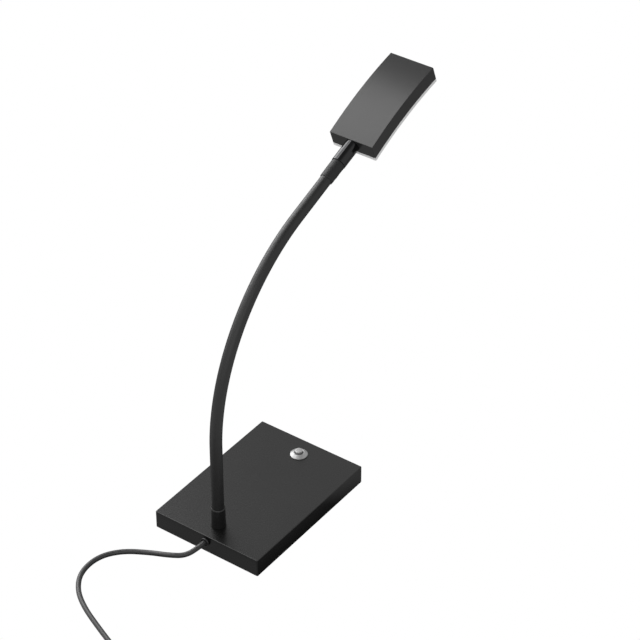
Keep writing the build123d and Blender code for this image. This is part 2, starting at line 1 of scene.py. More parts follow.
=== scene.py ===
"""Looks of the gooseneck desk lamp, built around its packed construction.

Lengths are in metres. The frame is the construction's own: the origin is the centre of the base's underside,
+X runs from the neck's foot to the push button, and +Z is up.
"""

from __future__ import annotations

import logging
import math
from dataclasses import dataclass, field
from enum import Enum
from functools import cache
from typing import Callable, Iterator, Mapping, Sequence, Union

import bpy
from mathutils import Matrix, Vector


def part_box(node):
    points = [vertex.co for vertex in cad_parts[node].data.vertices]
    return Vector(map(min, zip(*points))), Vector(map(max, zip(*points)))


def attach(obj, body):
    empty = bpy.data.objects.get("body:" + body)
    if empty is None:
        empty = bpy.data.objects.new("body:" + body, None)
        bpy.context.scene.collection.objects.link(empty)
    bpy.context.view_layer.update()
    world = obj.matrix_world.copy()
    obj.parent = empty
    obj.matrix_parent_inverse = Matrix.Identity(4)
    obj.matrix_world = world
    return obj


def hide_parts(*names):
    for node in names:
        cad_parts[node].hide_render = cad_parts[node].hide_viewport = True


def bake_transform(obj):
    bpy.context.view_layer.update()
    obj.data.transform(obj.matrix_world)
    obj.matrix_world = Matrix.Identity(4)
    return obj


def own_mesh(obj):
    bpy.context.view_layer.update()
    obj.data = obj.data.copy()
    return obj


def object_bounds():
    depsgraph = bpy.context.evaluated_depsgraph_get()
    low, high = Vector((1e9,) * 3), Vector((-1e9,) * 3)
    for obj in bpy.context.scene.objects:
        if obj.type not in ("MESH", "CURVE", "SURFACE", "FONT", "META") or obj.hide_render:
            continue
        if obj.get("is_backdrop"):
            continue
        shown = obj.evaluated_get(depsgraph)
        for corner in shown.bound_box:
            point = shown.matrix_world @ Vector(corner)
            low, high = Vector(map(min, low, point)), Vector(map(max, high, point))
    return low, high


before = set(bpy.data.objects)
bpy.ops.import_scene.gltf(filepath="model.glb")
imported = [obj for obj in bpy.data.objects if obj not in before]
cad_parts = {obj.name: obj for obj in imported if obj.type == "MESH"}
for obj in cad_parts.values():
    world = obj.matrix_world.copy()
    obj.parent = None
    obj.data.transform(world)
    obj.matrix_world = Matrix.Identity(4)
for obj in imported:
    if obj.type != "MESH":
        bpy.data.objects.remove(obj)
CAD_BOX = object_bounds()

log = logging.getLogger("desk_lamp")

MM = 0.001
HEAD_SPOT = Vector((0.107, 0.0, 0.335))

Colour = tuple[float, float, float]
Profile = list[tuple[float, float]]
Ring = list[Vector]


class Body(str, Enum):
    """Bodies of the construction that pieces ride on."""

    BASE = "base"
    BUTTON = "push_button"
    HEAD = "lamp_head"

    @staticmethod
    def link(number: int, last: int) -> str:
        """Name of the neck's body after a joint.

        Args:
            number: 0 for the base, and then one more for each joint.
            last: number of joints.

        Returns:
            The body's name.
        """
        if number == 0:
            return Body.BASE.value
        return Body.HEAD.value if number == last else f"neck_link_{number}"


# ---------------------------------------------------------------- meshes


def soften(profile: Profile, radius: float, steps: int = 4, closed: bool = True) -> Profile:
    """Round every corner of an outline with an arc.

    Args:
        profile: corner points in order.
        radius: arc radius, made smaller where an edge is short.
        steps: points along each arc, less one.
        closed: whether the last point joins the first.

    Returns:
        The rounded outline.
    """
    count = len(profile)
    rounded: Profile = []
    for i, corner in enumerate(profile):
        if not closed and i in (0, count - 1):
            rounded.append(corner)
            continue
        here = Vector(corner)
        back = Vector(profile[i - 1]) - here
        ahead = Vector(profile[(i + 1) % count]) - here
        half = back.angle(ahead) / 2
        if half > math.radians(85):
            rounded.append(corner)
            continue
        reach = min(radius / math.tan(half), 0.45 * back.length, 0.45 * ahead.length)
        bend = reach * math.tan(half)
        centre = here + (back.normalized() + ahead.normalized()).normalized() * (bend / math.sin(half))
        start = here + back.normalized() * reach - centre
        end = here + ahead.normalized() * reach - centre
        first = math.atan2(start.y, start.x)
        sweep = math.remainder(math.atan2(end.y, end.x) - first, 2 * math.pi)
        for step in range(steps + 1):
            turn = first + sweep * step / steps
            rounded.append((centre.x + bend * math.cos(turn), centre.y + bend * math.sin(turn)))
    return rounded


class Facets:
    """Vertices and faces of a piece while it is made."""

    def __init__(self) -> None:
        """Start with nothing."""
        self.points: list[Vector] = []
        self.faces: list[tuple[int, ...]] = []

    def ring(self, points: Sequence[Vector]) -> list[int]:
        """Add points and return their numbers.

        Args:
            points: the points.

        Returns:
            Their numbers in the mesh.
        """
        first = len(self.points)
        self.points.extend(points)
        return list(range(first, first + len(points)))

    def bridge(self, low: Sequence[int], high: Sequence[int]) -> None:
        """Join two rings of the same count with quads.

        Args:
            low: one ring's numbers.
            high: the next ring's numbers.
        """
        count = len(low)
        for i in range(count):
            j = (i + 1) % count
            self.faces.append((low[i], low[j], high[j], high[i]))

    def fan(self, ring: Sequence[int], tip: Vector, outward: bool) -> None:
        """Close a ring with triangles to one point.

        Args:
            ring: the ring's numbers.
            tip: the point.
            outward: whether the ring turns anticlockwise seen from outside.
        """
        (centre,) = self.ring([tip])
        count = len(ring)
        for i in range(count):
            face = (ring[i], ring[(i + 1) % count], centre)
            self.faces.append(face if outward else face[::-1])

    def strips(self, ring: Sequence[int], outward: bool) -> None:
        """Close a ring of even count with quads from its one side to the other.

        Args:
            ring: numbers that go up one side and come back down the other.
            outward: whether the ring turns anticlockwise seen from outside.
        """
        half = len(ring) // 2
        for i in range(half - 1):
            face = (ring[i], ring[i + 1], ring[-2 - i], ring[-1 - i])
            self.faces.append(face if outward else face[::-1])

    def loft(self, rings: Sequence[Ring], closed: bool = False) -> list[list[int]]:
        """Skin a row of rings.

        Args:
            rings: rings of the same count.
            closed: whether the last ring joins the first.

        Returns:
            The numbers of each ring's points.
        """
        numbers = [self.ring(points) for points in rings]
        for low, high in zip(numbers, numbers[1:]):
            self.bridge(low, high)
        if closed:
            self.bridge(numbers[-1], numbers[0])
        return numbers

    def piece(self, name: str, crease: float = 35.0) -> bpy.types.Object:
        """Make the object, smooth apart from its sharp edges.

        Args:
            name: the piece's name.
            crease: angle in degrees above which an edge is sharp.

        Returns:
            The object, linked to the scene.
        """
        mesh = bpy.data.meshes.new(name)
        mesh.from_pydata([tuple(point) for point in self.points], [], self.faces)
        mesh.update()
        obj = bpy.data.objects.new(name, mesh)
        bpy.context.scene.collection.objects.link(obj)
        smooth(obj, crease)
        return obj


def smooth(obj: bpy.types.Object, crease: float = 35.0) -> None:
    """Shade an object smooth, with sharp edges above an angle.

    Args:
        obj: mesh object.
        crease: angle in degrees.
    """
    obj.data.shade_smooth()
    obj.data.set_sharp_from_angle(angle=math.radians(crease))


def settle(obj: bpy.types.Object) -> None:
    """Apply an object's modifiers to its mesh.

    Args:
        obj: mesh object.
    """
    bpy.context.view_layer.update()
    evaluated = obj.evaluated_get(bpy.context.evaluated_depsgraph_get())
    finished = bpy.data.meshes.new_from_object(evaluated)
    old = obj.data
    obj.modifiers.clear()
    obj.data = finished
    finished.name = obj.name
    bpy.data.meshes.remove(old)


def weigh_normals(obj: bpy.types.Object) -> None:
    """Let flat faces keep their own normals beside rounded edges.

    Args:
        obj: mesh object.
    """
    weighted = obj.modifiers.new("weigh", "WEIGHTED_NORMAL")
    weighted.keep_sharp = True
    weighted.weight = 100
    settle(obj)


def circle(radius: float, height: float, count: int) -> Ring:
    """Points of a level circle about the Z axis.

    Args:
        radius: circle radius.
        height: its height.
        count: number of points.

    Returns:
        The points, anticlockwise from above.
    """
    turns = (2 * math.pi * i / count for i in range(count))
    return [Vector((radius * math.cos(turn), radius * math.sin(turn), height)) for turn in turns]


def lathe(facets: Facets, profile: Profile, place: Matrix, count: int = 64) -> None:
    """Turn an outline of (radius, height) points about an axis.

    Args:
        facets: mesh that takes the faces.
        profile: outline, anticlockwise with radius to the right and height up. It is a closed loop unless it
            starts and ends on the axis.
        place: where the axis stands.
        count: steps round the axis.
    """
    on_axis = profile[0][0] < 1e-9 and profile[-1][0] < 1e-9
    inner = profile[1:-1] if on_axis else profile
    rings = [[place @ point for point in circle(radius, height, count)] for radius, height in inner]
    numbers = facets.loft(rings, closed=not on_axis)
    if on_axis:
        facets.fan(numbers[0], place @ Vector((0, 0, profile[0][1])), outward=False)
        facets.fan(numbers[-1], place @ Vector((0, 0, profile[-1][1])), outward=True)


@dataclass
class Slab:
    """Rounded rectangle that is lofted through heights, along u from 0 to its length and centred in w."""

    length: float
    width: float
    corner: float
    stations: int = 2
    corner_steps: int = 5

    def outline(self, inset: float) -> Profile:
        """Outline at an inset from the full size.

        Args:
            inset: distance inside the full outline.

        Returns:
            (u, w) points that run up the right side and come back down the left one.
        """
        radius = max(self.corner - inset, 0.05 * MM)
        half = self.width / 2 - inset
        quarter = [math.pi / 2 * step / self.corner_steps for step in range(self.corner_steps + 1)]
        near = [
            (inset + radius * (1 - math.cos(turn)), half - radius * (1 - math.sin(turn))) for turn in quarter
        ]
        middle_run = self.length - 2 * (inset + radius)
        middle = [
            (inset + radius + middle_run * step / self.stations, half) for step in range(1, self.stations)
        ]
        far = [(self.length - u, w) for u, w in reversed(near)]
        left = near + middle + far
        right = [(u, -w) for u, w in left]
        return right + left[::-1]

    def loft(
        self, facets: Facets, levels: Profile, place: Callable[[float, float, float], Vector]
    ) -> list[list[int]]:
        """Close a solid through rings of (inset, height).

        Args:
            facets: mesh that takes the faces.
            levels: rings in order, from the first cap to the last.
            place: turns (u, w, height) into a point.

        Returns:
            The numbers of each ring's points.
        """
        rings = [[place(u, w, height) for u, w in self.outline(inset)] for inset, height in levels]
        numbers = facets.loft(rings)
        facets.strips(numbers[0], outward=False)
        facets.strips(numbers[-1], outward=True)
        return numbers


def drill(obj: bpy.types.Object, cutters: Sequence[bpy.types.Object]) -> None:
    """Cut holes with other solids, which are used up.

    Args:
        obj: mesh object.
        cutters: closed solids.
    """
    for cutter in cutters:
        cut = obj.modifiers.new("hole", "BOOLEAN")
        cut.operation = "DIFFERENCE"
        cut.solver = "EXACT"
        cut.object = cutter
    settle(obj)
    for cutter in cutters:
        bpy.data.objects.remove(cutter)


# ---------------------------------------------------------------- shader nodes

Input = Union[float, tuple, "Value", bpy.types.NodeSocket]


class Value:
    """Socket with arithmetic: every operator adds its Math node."""

    def __init__(self, paint: "Paint", socket: bpy.types.NodeSocket) -> None:
        """Hold a socket of a material.

        Args:
            paint: the material's nodes.
            socket: an output socket.
        """
        self.paint = paint
        self.socket = socket

    def math(self, operation: str, *others: Input, clamp: bool = False) -> "Value":
        """Add a Math node with this value first.

        Args:
            operation: the node's operation.
            others: its other inputs.
            clamp: whether it is kept from 0 to 1.

        Returns:
            The node's result.
        """
        inputs = {i: value for i, value in enumerate((self, *others))}
        settings = {"operation": operation, "use_clamp": clamp}
        return self.paint.value("ShaderNodeMath", settings, inputs)

    def flipped(self, operation: str, other: Input) -> "Value":
        """Add a Math node with this value second."""
        settings = {"operation": operation}
        return self.paint.value("ShaderNodeMath", settings, {0: other, 1: self})

    def __add__(self, other: Input) -> "Value":
        """Sum."""
        return self.math("ADD", other)

    def __radd__(self, other: Input) -> "Value":
        """Sum, from the right."""
        return self.math("ADD", other)

    def __sub__(self, other: Input) -> "Value":
        """Difference."""
        return self.math("SUBTRACT", other)

    def __rsub__(self, other: Input) -> "Value":
        """Difference, from the right."""
        return self.flipped("SUBTRACT", other)

    def __mul__(self, other: Input) -> "Value":
        """Product."""
        return self.math("MULTIPLY", other)

    def __rmul__(self, other: Input) -> "Value":
        """Product, from the right."""
        return self.math("MULTIPLY", other)

    def __truediv__(self, other: Input) -> "Value":
        """Quotient."""
        return self.math("DIVIDE", other)

    def __rtruediv__(self, other: Input) -> "Value":
        """Quotient, from the right."""
        return self.flipped("DIVIDE", other)

    def clamp(self) -> "Value":
        """Keep the value from 0 to 1."""
        return self.math("ADD", 0.0, clamp=True)

    def above(self, low: float, high: float) -> "Value":
        """Rise from 0 to 1 between two levels, and stay there.

        Args:
            low: level of 0.
            high: level of 1.

        Returns:
            The step.
        """
        return ((self - low) / (high - low)).clamp()


class Paint:
    """Nodes of one material, from its finish to its output."""

    def __init__(self, name: str, tree: bpy.types.NodeTree | None = None) -> None:
        """Start a material with an output and a principled shader, or clear the world's nodes.

        Args:
            name: the material's name.
            tree: the world's nodes, or none for a new material.
        """
        self.tree = tree
        if tree is not None:
            tree.nodes.clear()
            return
        self.material = bpy.data.materials.new(name)
        self.material.use_nodes = True
        self.tree = self.material.node_tree
        self.tree.nodes.clear()
        self.shader = self.node("ShaderNodeBsdfPrincipled", {}, {})
        self.output = self.node("ShaderNodeOutputMaterial", {}, {"Surface": self.shader.outputs[0]})

    def node(
        self, kind: str, settings: Mapping[str, object], sockets: Mapping[Union[str, int], Input]
    ) -> bpy.types.Node:
        """Add a node.

        Args:
            kind: the node's type.
            settings: its properties, set before its sockets.
            sockets: values or links of its input sockets, by name or number.

        Returns:
            The node.
        """
        made = self.tree.nodes.new(kind)
        for name, setting in settings.items():
            setattr(made, name, setting)
        for key, value in sockets.items():
            self.feed(made.inputs[key], value)
        return made

    def feed(self, socket: bpy.types.NodeSocket, value: Input) -> None:
        """Set or link one input socket.

        Args:
            socket: the input.
            value: a number, colour, vector, Value or output socket.
        """
        if isinstance(value, Value):
            self.tree.links.new(value.socket, socket)
        elif isinstance(value, bpy.types.NodeSocket):
            self.tree.links.new(value, socket)
        elif socket.type == "RGBA" and isinstance(value, tuple) and len(value) == 3:
            socket.default_value = (*value, 1.0)
        else:
            socket.default_value = value

    def value(
        self, kind: str, settings: Mapping[str, object], sockets: Mapping[Union[str, int], Input]
    ) -> Value:
        """Add a node and take its first output as a value."""
        return Value(self, self.node(kind, settings, sockets).outputs[0])

    def place(self) -> bpy.types.NodeSocket:
        """Place on the piece, in metres of the frame."""
        return self.node("ShaderNodeTexCoord", {}, {}).outputs["Object"]

    def stretched(self, scale: tuple[float, float, float]) -> bpy.types.NodeSocket:
        """Place on the piece, scaled along its axes.

        Args:
            scale: scale along each axis.

        Returns:
            The mapped place.
        """
        sockets = {"Vector": self.place(), "Scale": scale}
        return self.node("ShaderNodeMapping", {"vector_type": "POINT"}, sockets).outputs[0]

    def along(self, axis: str) -> Value:
        """Place on the piece along one axis of the frame."""
        return Value(self, self.node("ShaderNodeSeparateXYZ", {}, {0: self.place()}).outputs[axis])

    def noise(
        self,
        size: float,
        detail: float = 2.0,
        rough: float = 0.5,
        place: bpy.types.NodeSocket | None = None,
        distortion: float = 0.0,
    ) -> Value:
        """Cloudy noise with features of a size.

        Args:
            size: size of the features.
            detail: octaves.
            rough: weight of each finer octave.
            place: place on the piece, or none for its own.
            distortion: warp.

        Returns:
            Noise about 0.5.
        """
        sockets = {
            "Vector": place or self.place(),
            "Scale": 1 / size,
            "Detail": detail,
            "Roughness": rough,
            "Distortion": distortion,
        }
        return self.value("ShaderNodeTexNoise", {"noise_dimensions": "3D"}, sockets)

    def cells(self, size: float, feature: str = "F1") -> Value:
        """Distance to the nearest cell centre, in cells.

        Args:
            size: size of a cell.
            feature: the node's feature.

        Returns:
            The distance.
        """
        sockets = {"Vector": self.place(), "Scale": 1 / size}
        return self.value("ShaderNodeTexVoronoi", {"feature": feature}, sockets)

    def tint(self, mask: Input, low: Input, high: Input) -> bpy.types.NodeSocket:
        """Mix two colours.

        Args:
            mask: 0 for the first colour and 1 for the second.
            low: first colour, plain or mixed.
            high: second colour.

        Returns:
            The mixed colour.
        """
        settings = {"data_type": "RGBA", "blend_type": "MIX", "clamp_factor": True}
        return self.node("ShaderNodeMix", settings, {0: mask, 6: low, 7: high}).outputs[2]

    def bump(self, height: Value, depth: float) -> bpy.types.NodeSocket:
        """Turn a height into a normal.

        Args:
            height: height from 0 to 1.
            depth: real depth.

        Returns:
            The normal.
        """
        sockets = {"Height": height, "Strength": 1.0, "Distance": depth}
        return self.node("ShaderNodeBump", {}, sockets).outputs[0]

    def mixed(
        self, mask: Input, low: bpy.types.NodeSocket, high: bpy.types.NodeSocket
    ) -> bpy.types.NodeSocket:
        """Mix two shaders.

        Args:
            mask: 0 for the first shader and 1 for the second.
            low: first shader.
            high: second shader.

        Returns:
            The mixed shader.
        """
        return self.node("ShaderNodeMixShader", {}, {0: mask, 1: low, 2: high}).outputs[0]

    def seen(self) -> bpy.types.NodeSocket:
        """1 where a surface is seen directly, and 0 in reflections and as light."""
        return self.node("ShaderNodeLightPath", {}, {}).outputs["Is Camera Ray"]

    def surface(self, **sockets: Input) -> bpy.types.Material:
        """Set the principled shader's sockets and return the material.

        Args:
            sockets: values by socket name, with _ for each space.

        Returns:
            The material.
        """
        for name, value in sockets.items():
            self.feed(self.shader.inputs[name.replace("_", " ")], value)
        return self.material


# ---------------------------------------------------------------- finishes


@dataclass(frozen=True)
class PowderCoat:
    """Satin powder coat: fine orange peel and a faint texture."""

    name: str
    colour: Colour
    roughness: float
    peel: float = 0.9 * MM
    depth: float = 0.004 * MM
    specular: float = 0.5
    smear: float = 0.03

    def mix(self) -> bpy.types.Material:
        """Make the material.

        Returns:
            The material.
        """
        paint = Paint(self.name)
        peel = paint.noise(self.peel, 2.0, 0.45)
        grain = paint.noise(self.peel / 5, 2.0, 0.5)
        cloud = paint.noise(60 * MM, 3.0, 0.55)
        dust = paint.noise(14 * MM, 4.0, 0.6)
        lighter = tuple(1.18 * part for part in self.colour)
        darker = tuple(0.88 * part for part in self.colour)
        normal = paint.bump(peel + grain * 0.25, self.depth)
        return paint.surface(
            Base_Color=paint.tint(cloud.above(0.35, 0.65), darker, lighter),
            Roughness=self.roughness + (dust - 0.5) * self.smear + (grain - 0.5) * self.smear,
            Normal=normal,
            Specular_IOR_Level=self.specular,
        )


@dataclass(frozen=True)
class Rubber:
    """Matt rubber or vinyl, with a fine skin and faint mottling."""

    name: str
    colour: Colour
    roughness: float
    grain: float = 0.5 * MM
    depth: float = 0.008 * MM
    mottle: float = 7 * MM
    contrast: float = 0.25
    specular: float = 0.5

    def mix(self) -> bpy.types.Material:
        """Make the material.

        Returns:
            The material.
        """
        paint = Paint(self.name)
        grain = paint.noise(self.grain, 3.0, 0.6)
        mottle = paint.noise(self.mottle, 3.0, 0.55)
        smear = paint.noise(3.1 * self.mottle, 2.0, 0.5, distortion=0.6)
        low = tuple((1 - self.contrast) * part for part in self.colour)
        high = tuple((1 + self.contrast) * part for part in self.colour)
        spread = (mottle.above(0.3, 0.7) * 0.6 + smear.above(0.3, 0.7) * 0.4)
        roughness = self.roughness + (mottle - 0.5) * 0.16 + (grain - 0.5) * 0.08
        return paint.surface(
            Base_Color=paint.tint(spread, low, high),
            Roughness=roughness.clamp(),
            Normal=paint.bump(grain + smear * 0.6, self.depth),
            Specular_IOR_Level=self.specular,
        )


@dataclass(frozen=True)
class TurnedMetal:
    """Turned or drawn metal, with fine tool marks round its axis or along it."""

    name: str
    colour: Colour
    roughness: float
    marks: float = 0.12 * MM
    depth: float = 0.002 * MM
    stretch: tuple[float, float, float] = (1.0, 1.0, 1.0)
    haze: float = 0.08

    def mix(self) -> bpy.types.Material:
        """Make the material.

        Returns:
            The material.
        """
        paint = Paint(self.name)
        lines = paint.noise(self.marks, 2.0, 0.6, paint.stretched(self.stretch))
        cloud = paint.noise(6 * MM, 3.0, 0.6)
        low = tuple(0.86 * part for part in self.colour)
        colour = paint.tint(cloud.above(0.3, 0.7) * 0.7 + lines * 0.3, low, self.colour)
        roughness = self.roughness + (cloud - 0.5) * self.haze + (lines - 0.5) * self.haze
        return paint.surface(
            Base_Color=colour,
            Metallic=1.0,
            Roughness=roughness.clamp(),
            Normal=paint.bump(lines, self.depth),
        )


@dataclass(frozen=True)
class CastIron:
    """Rough sand casting with a thin film of oil."""

    name: str
    colour: Colour

    def mix(self) -> bpy.types.Material:
        """Make the material.

        Returns:
            The material.
        """
        paint = Paint(self.name)
        grit = paint.noise(0.7 * MM, 5.0, 0.65)
        pits = paint.cells(2.4 * MM).above(0.05, 0.3)
        stain = paint.noise(18 * MM, 4.0, 0.6)
        dark = tuple(0.6 * part for part in self.colour)
        rust = (0.20, 0.10, 0.055)
        base = paint.tint(grit, dark, self.colour)
        colour = paint.tint(stain.above(0.56, 0.72) * 0.5, base, rust)
        return paint.surface(
            Base_Color=colour,
            Metallic=0.6,
            Roughness=0.62 + (grit - 0.5) * 0.3,
            Normal=paint.bump(grit * 0.6 + pits * 0.4, 0.12 * MM),
        )


@dataclass(frozen=True)
class Moulded:
    """Moulded plastic with a spark-eroded texture."""

    name: str
    colour: Colour
    roughness: float = 0.5
    texture: float = 0.35 * MM
    depth: float = 0.01 * MM

    def mix(self) -> bpy.types.Material:
        """Make the material.

        Returns:
            The material.
        """
        paint = Paint(self.name)
        spark = paint.noise(self.texture, 2.0, 0.5)
        flow = paint.noise(9 * MM, 3.0, 0.5, distortion=0.8)
        low = tuple(0.85 * part for part in self.colour)
        high = tuple(min(1.12 * part, 1.0) for part in self.colour)
        return paint.surface(
            Base_Color=paint.tint(flow.above(0.3, 0.7), low, high),
            Roughness=(self.roughness + (spark - 0.5) * 0.14 + (flow - 0.5) * 0.08).clamp(),
            Normal=paint.bump(spark, self.depth),
        )


@dataclass(frozen=True)
class Laminate:
    """Circuit board: woven glass under a solder mask, with printed tracks."""

    name: str
    colour: Colour

    def mix(self) -> bpy.types.Material:
        """Make the material.

        Returns:
            The material.
        """
        paint = Paint(self.name)
        weave = paint.noise(0.5 * MM, 1.0, 0.5, paint.stretched((1.0, 3.0, 1.0)))
        tracks = paint.cells(4 * MM, "DISTANCE_TO_EDGE").above(0.07, 0.10)
        low = tuple(0.6 * part for part in self.colour)
        colour = paint.tint(tracks * 0.7 + weave * 0.3, low, self.colour)
        return paint.surface(
            Base_Color=colour,
            Roughness=0.35 + (weave - 0.5) * 0.1,
            Normal=paint.bump(tracks, 0.03 * MM),
        )


@dataclass(frozen=True)
class FrostedAcrylic:
    """Frosted opal plate that lets a little light through."""

    name: str
    colour: Colour
    roughness: float = 0.5
    through: float = 0.35

    def mix(self) -> bpy.types.Material:
        """Make the material.

        Returns:
            The material.
        """
        paint = Paint(self.name)
        frost = paint.noise(0.12 * MM, 3.0, 0.6)
        cloud = paint.noise(22 * MM, 3.0, 0.5)
        low = tuple(0.95 * part for part in self.colour)
        return paint.surface(
            Base_Color=paint.tint(cloud.above(0.3, 0.7), low, self.colour),
            Roughness=self.roughness + (frost - 0.5) * 0.16,
            Normal=paint.bump(frost, 0.004 * MM),
            Subsurface_Weight=self.through,
            Subsurface_Radius=(3 * MM, 3 * MM, 3 * MM),
            Subsurface_Scale=1.0,
        )


@dataclass(frozen=True)
class WireJackets:
    """Insulated wires whose jackets differ by where they run."""

    name: str
    near: Colour
    far: Colour
    split: float
    blend: float = 0.01 * MM
    roughness: float = 0.34

    def mix(self) -> bpy.types.Material:
        """Make the material.

        Returns:
            The material.
        """
        paint = Paint(self.name)
        side = paint.along("Y").above(self.split - self.blend, self.split + self.blend)
        skin = paint.noise(1.2 * MM, 2.0, 0.5)
        return paint.surface(
            Base_Color=paint.tint(side, self.near, self.far),
            Roughness=self.roughness + (skin - 0.5) * 0.12,
            Normal=paint.bump(skin, 0.01 * MM),
        )


class Finish(Enum):
    """Every finish of the lamp, made into a material when it is first used."""

    BASE_COAT = PowderCoat("satin_black_coat", (0.003, 0.003, 0.003), 0.27)
    COLLAR_COAT = PowderCoat("collar_coat", (0.003, 0.003, 0.003), 0.38, 0.7 * MM)
    HEAD_COAT = PowderCoat("head_black_lacquer", (0.010, 0.010, 0.010), 0.29, 0.6 * MM, 0.002 * MM)
    SLEEVE = Rubber("sleeve_rubber", (0.005, 0.005, 0.005), 0.45, contrast=0.15)
    BOOT = Rubber("boot_rubber", (0.004, 0.004, 0.0042), 0.52, mottle=4 * MM, contrast=0.3, specular=0.42)
    CORD = Rubber("cord_vinyl", (0.022, 0.022, 0.0225), 0.43, 0.6 * MM, 0.008 * MM, 12 * MM, 0.2)
    PAD = Rubber("foam_pad", (0.03, 0.03, 0.03), 0.9, 0.6 * MM, 0.12 * MM, 5 * MM, 0.3)
    SEAL = Rubber("seal_black_rubber", (0.008, 0.008, 0.008), 0.6)
    GLAND = Moulded("gland_nylon", (0.008, 0.008, 0.0085), 0.42)
    PLUG = Moulded("plug_vinyl", (0.010, 0.010, 0.0105), 0.45)
    TIE = Moulded("tie_strap", (0.014, 0.014, 0.014), 0.5)
    SWITCH_METAL = TurnedMetal("satin_chrome", (0.43, 0.43, 0.43), 0.46, stretch=(0.2, 0.2, 3.0))
    STEM_METAL = TurnedMetal("ferrule_black_nickel", (0.044, 0.044, 0.045), 0.10, stretch=(0.15, 3.0, 3.0))
    ZINC = TurnedMetal("zinc_plate", (0.62, 0.62, 0.58), 0.38, 0.9 * MM, 0.004 * MM, haze=0.2)
    SPRING = TurnedMetal("spring_wire", (0.30, 0.30, 0.31), 0.35, 0.2 * MM)
    BRASS = TurnedMetal("turned_brass", (0.74, 0.56, 0.27), 0.3, 0.3 * MM, haze=0.15)
    PINS = TurnedMetal("nickelled_pins", (0.62, 0.60, 0.54), 0.22, 0.2 * MM)
    IRON = CastIron("cast_iron", (0.14, 0.13, 0.12))
    BLACK_PLASTIC = Moulded("driver_case_plastic", (0.02, 0.02, 0.021), 0.5)
    POLYAMIDE = Moulded("terminal_polyamide", (0.70, 0.68, 0.62), 0.45)
    FERRITE = Moulded("ferrite_core", (0.05, 0.05, 0.055), 0.55, 0.6 * MM, 0.03 * MM)
    SHRINK_SLEEVE = Moulded("shrink_sleeve", (0.03, 0.04, 0.09), 0.25, 2 * MM, 0.01 * MM)
    BOARD = Laminate("green_laminate", (0.03, 0.16, 0.07))
    WHITE_MASK = Moulded("white_solder_mask", (0.80, 0.80, 0.78), 0.35)
    PHOSPHOR = Moulded("led_phosphor", (0.85, 0.72, 0.25), 0.3, 0.2 * MM, 0.01 * MM)
    REFLECTOR = Moulded("white_film", (0.86, 0.86, 0.85), 0.5, 0.3 * MM, 0.006 * MM)
    FROSTED = FrostedAcrylic("frosted_opal", (0.72, 0.72, 0.72))
    MAINS_WIRES = WireJackets("mains_wires", (0.16, 0.06, 0.025), (0.03, 0.08, 0.32), 28 * MM)
    INNER_WIRES = WireJackets("inner_wires", (0.16, 0.06, 0.025), (0.03, 0.08, 0.32), 33 * MM)
    LEAD = Rubber("lead_sheath", (0.72, 0.72, 0.70), 0.4, 0.8 * MM, 0.006 * MM, 6 * MM, 0.06)

    @cache
    def material(self) -> bpy.types.Material:
        """Material of this finish, made once."""
        return self.value.mix()


def dress(obj: bpy.types.Object, finish: Finish) -> bpy.types.Object:
    """Give an object one finish all over.

    Args:
        obj: mesh or curve object.
        finish: the finish.

    Returns:
        The same object.
    """
    obj.data.materials.clear()
    obj.data.materials.append(finish.material())
    return obj


def dress_nodes(finishes: Mapping[str, Finish]) -> None:
    """Give nodes of the construction their finishes.

    Args:
        finishes: finish by node name.
    """
    for name, finish in finishes.items():
        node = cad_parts[name]
        dress(node, finish)
        log.info("node %s in %s", name, finish.value.name)


def fit(obj: bpy.types.Object, finish: Finish, body: str, slot: str, *nodes: str) -> bpy.types.Object:
    """Dress a finished piece and hang it on its body.

    Args:
        obj: the piece.
        finish: its finish.
        body: the body that it rides on.
        slot: the record's material slot.
        nodes: nodes that it stands for.

    Returns:
        The same object.
    """
    dress(obj, finish)
    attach(obj, body)
    stand_for(obj, slot, *nodes)
    return obj


def stand_for(obj: bpy.types.Object, slot: str, *nodes: str) -> None:
    """Hide the nodes that a piece stands for, and log the piece's faces.

    Args:
        obj: the piece.
        slot: the record's material slot, which is not used.
        nodes: nodes that it stands for.
    """
    if nodes:
        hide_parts(*nodes)
    log.info("piece %s: %d faces", obj.name, len(getattr(obj.data, "polygons", [])))


# ---------------------------------------------------------------- studio


@dataclass
class SoftBox:
    """Glowing rectangle that faces the lamp."""

    name: str
    bearing: float
    climb: float
    width: float
    height: float
    glow: float
    distance: float = 1.6
    aim: Vector = field(default_factory=lambda: Vector((0.0, 0.0, 0.15)))

    def hang(self) -> None:
        """Add the light, at its bearing from +X and its climb above the floor, in degrees."""
        bearing, climb = math.radians(self.bearing), math.radians(self.climb)
        level = math.cos(climb)
        outward = Vector((level * math.cos(bearing), level * math.sin(bearing), math.sin(climb)))
        data = bpy.data.lights.new(self.name, "AREA")
        data.shape = "RECTANGLE"
        data.size = self.width
        data.size_y = self.height
        data.energy = self.glow * math.pi * self.width * self.height
        light = bpy.data.objects.new(self.name, data)
        light.location = self.aim + outward * self.distance
        light.rotation_euler = (-outward).to_track_quat("-Z", "Y").to_euler()
        bpy.context.scene.collection.objects.link(light)


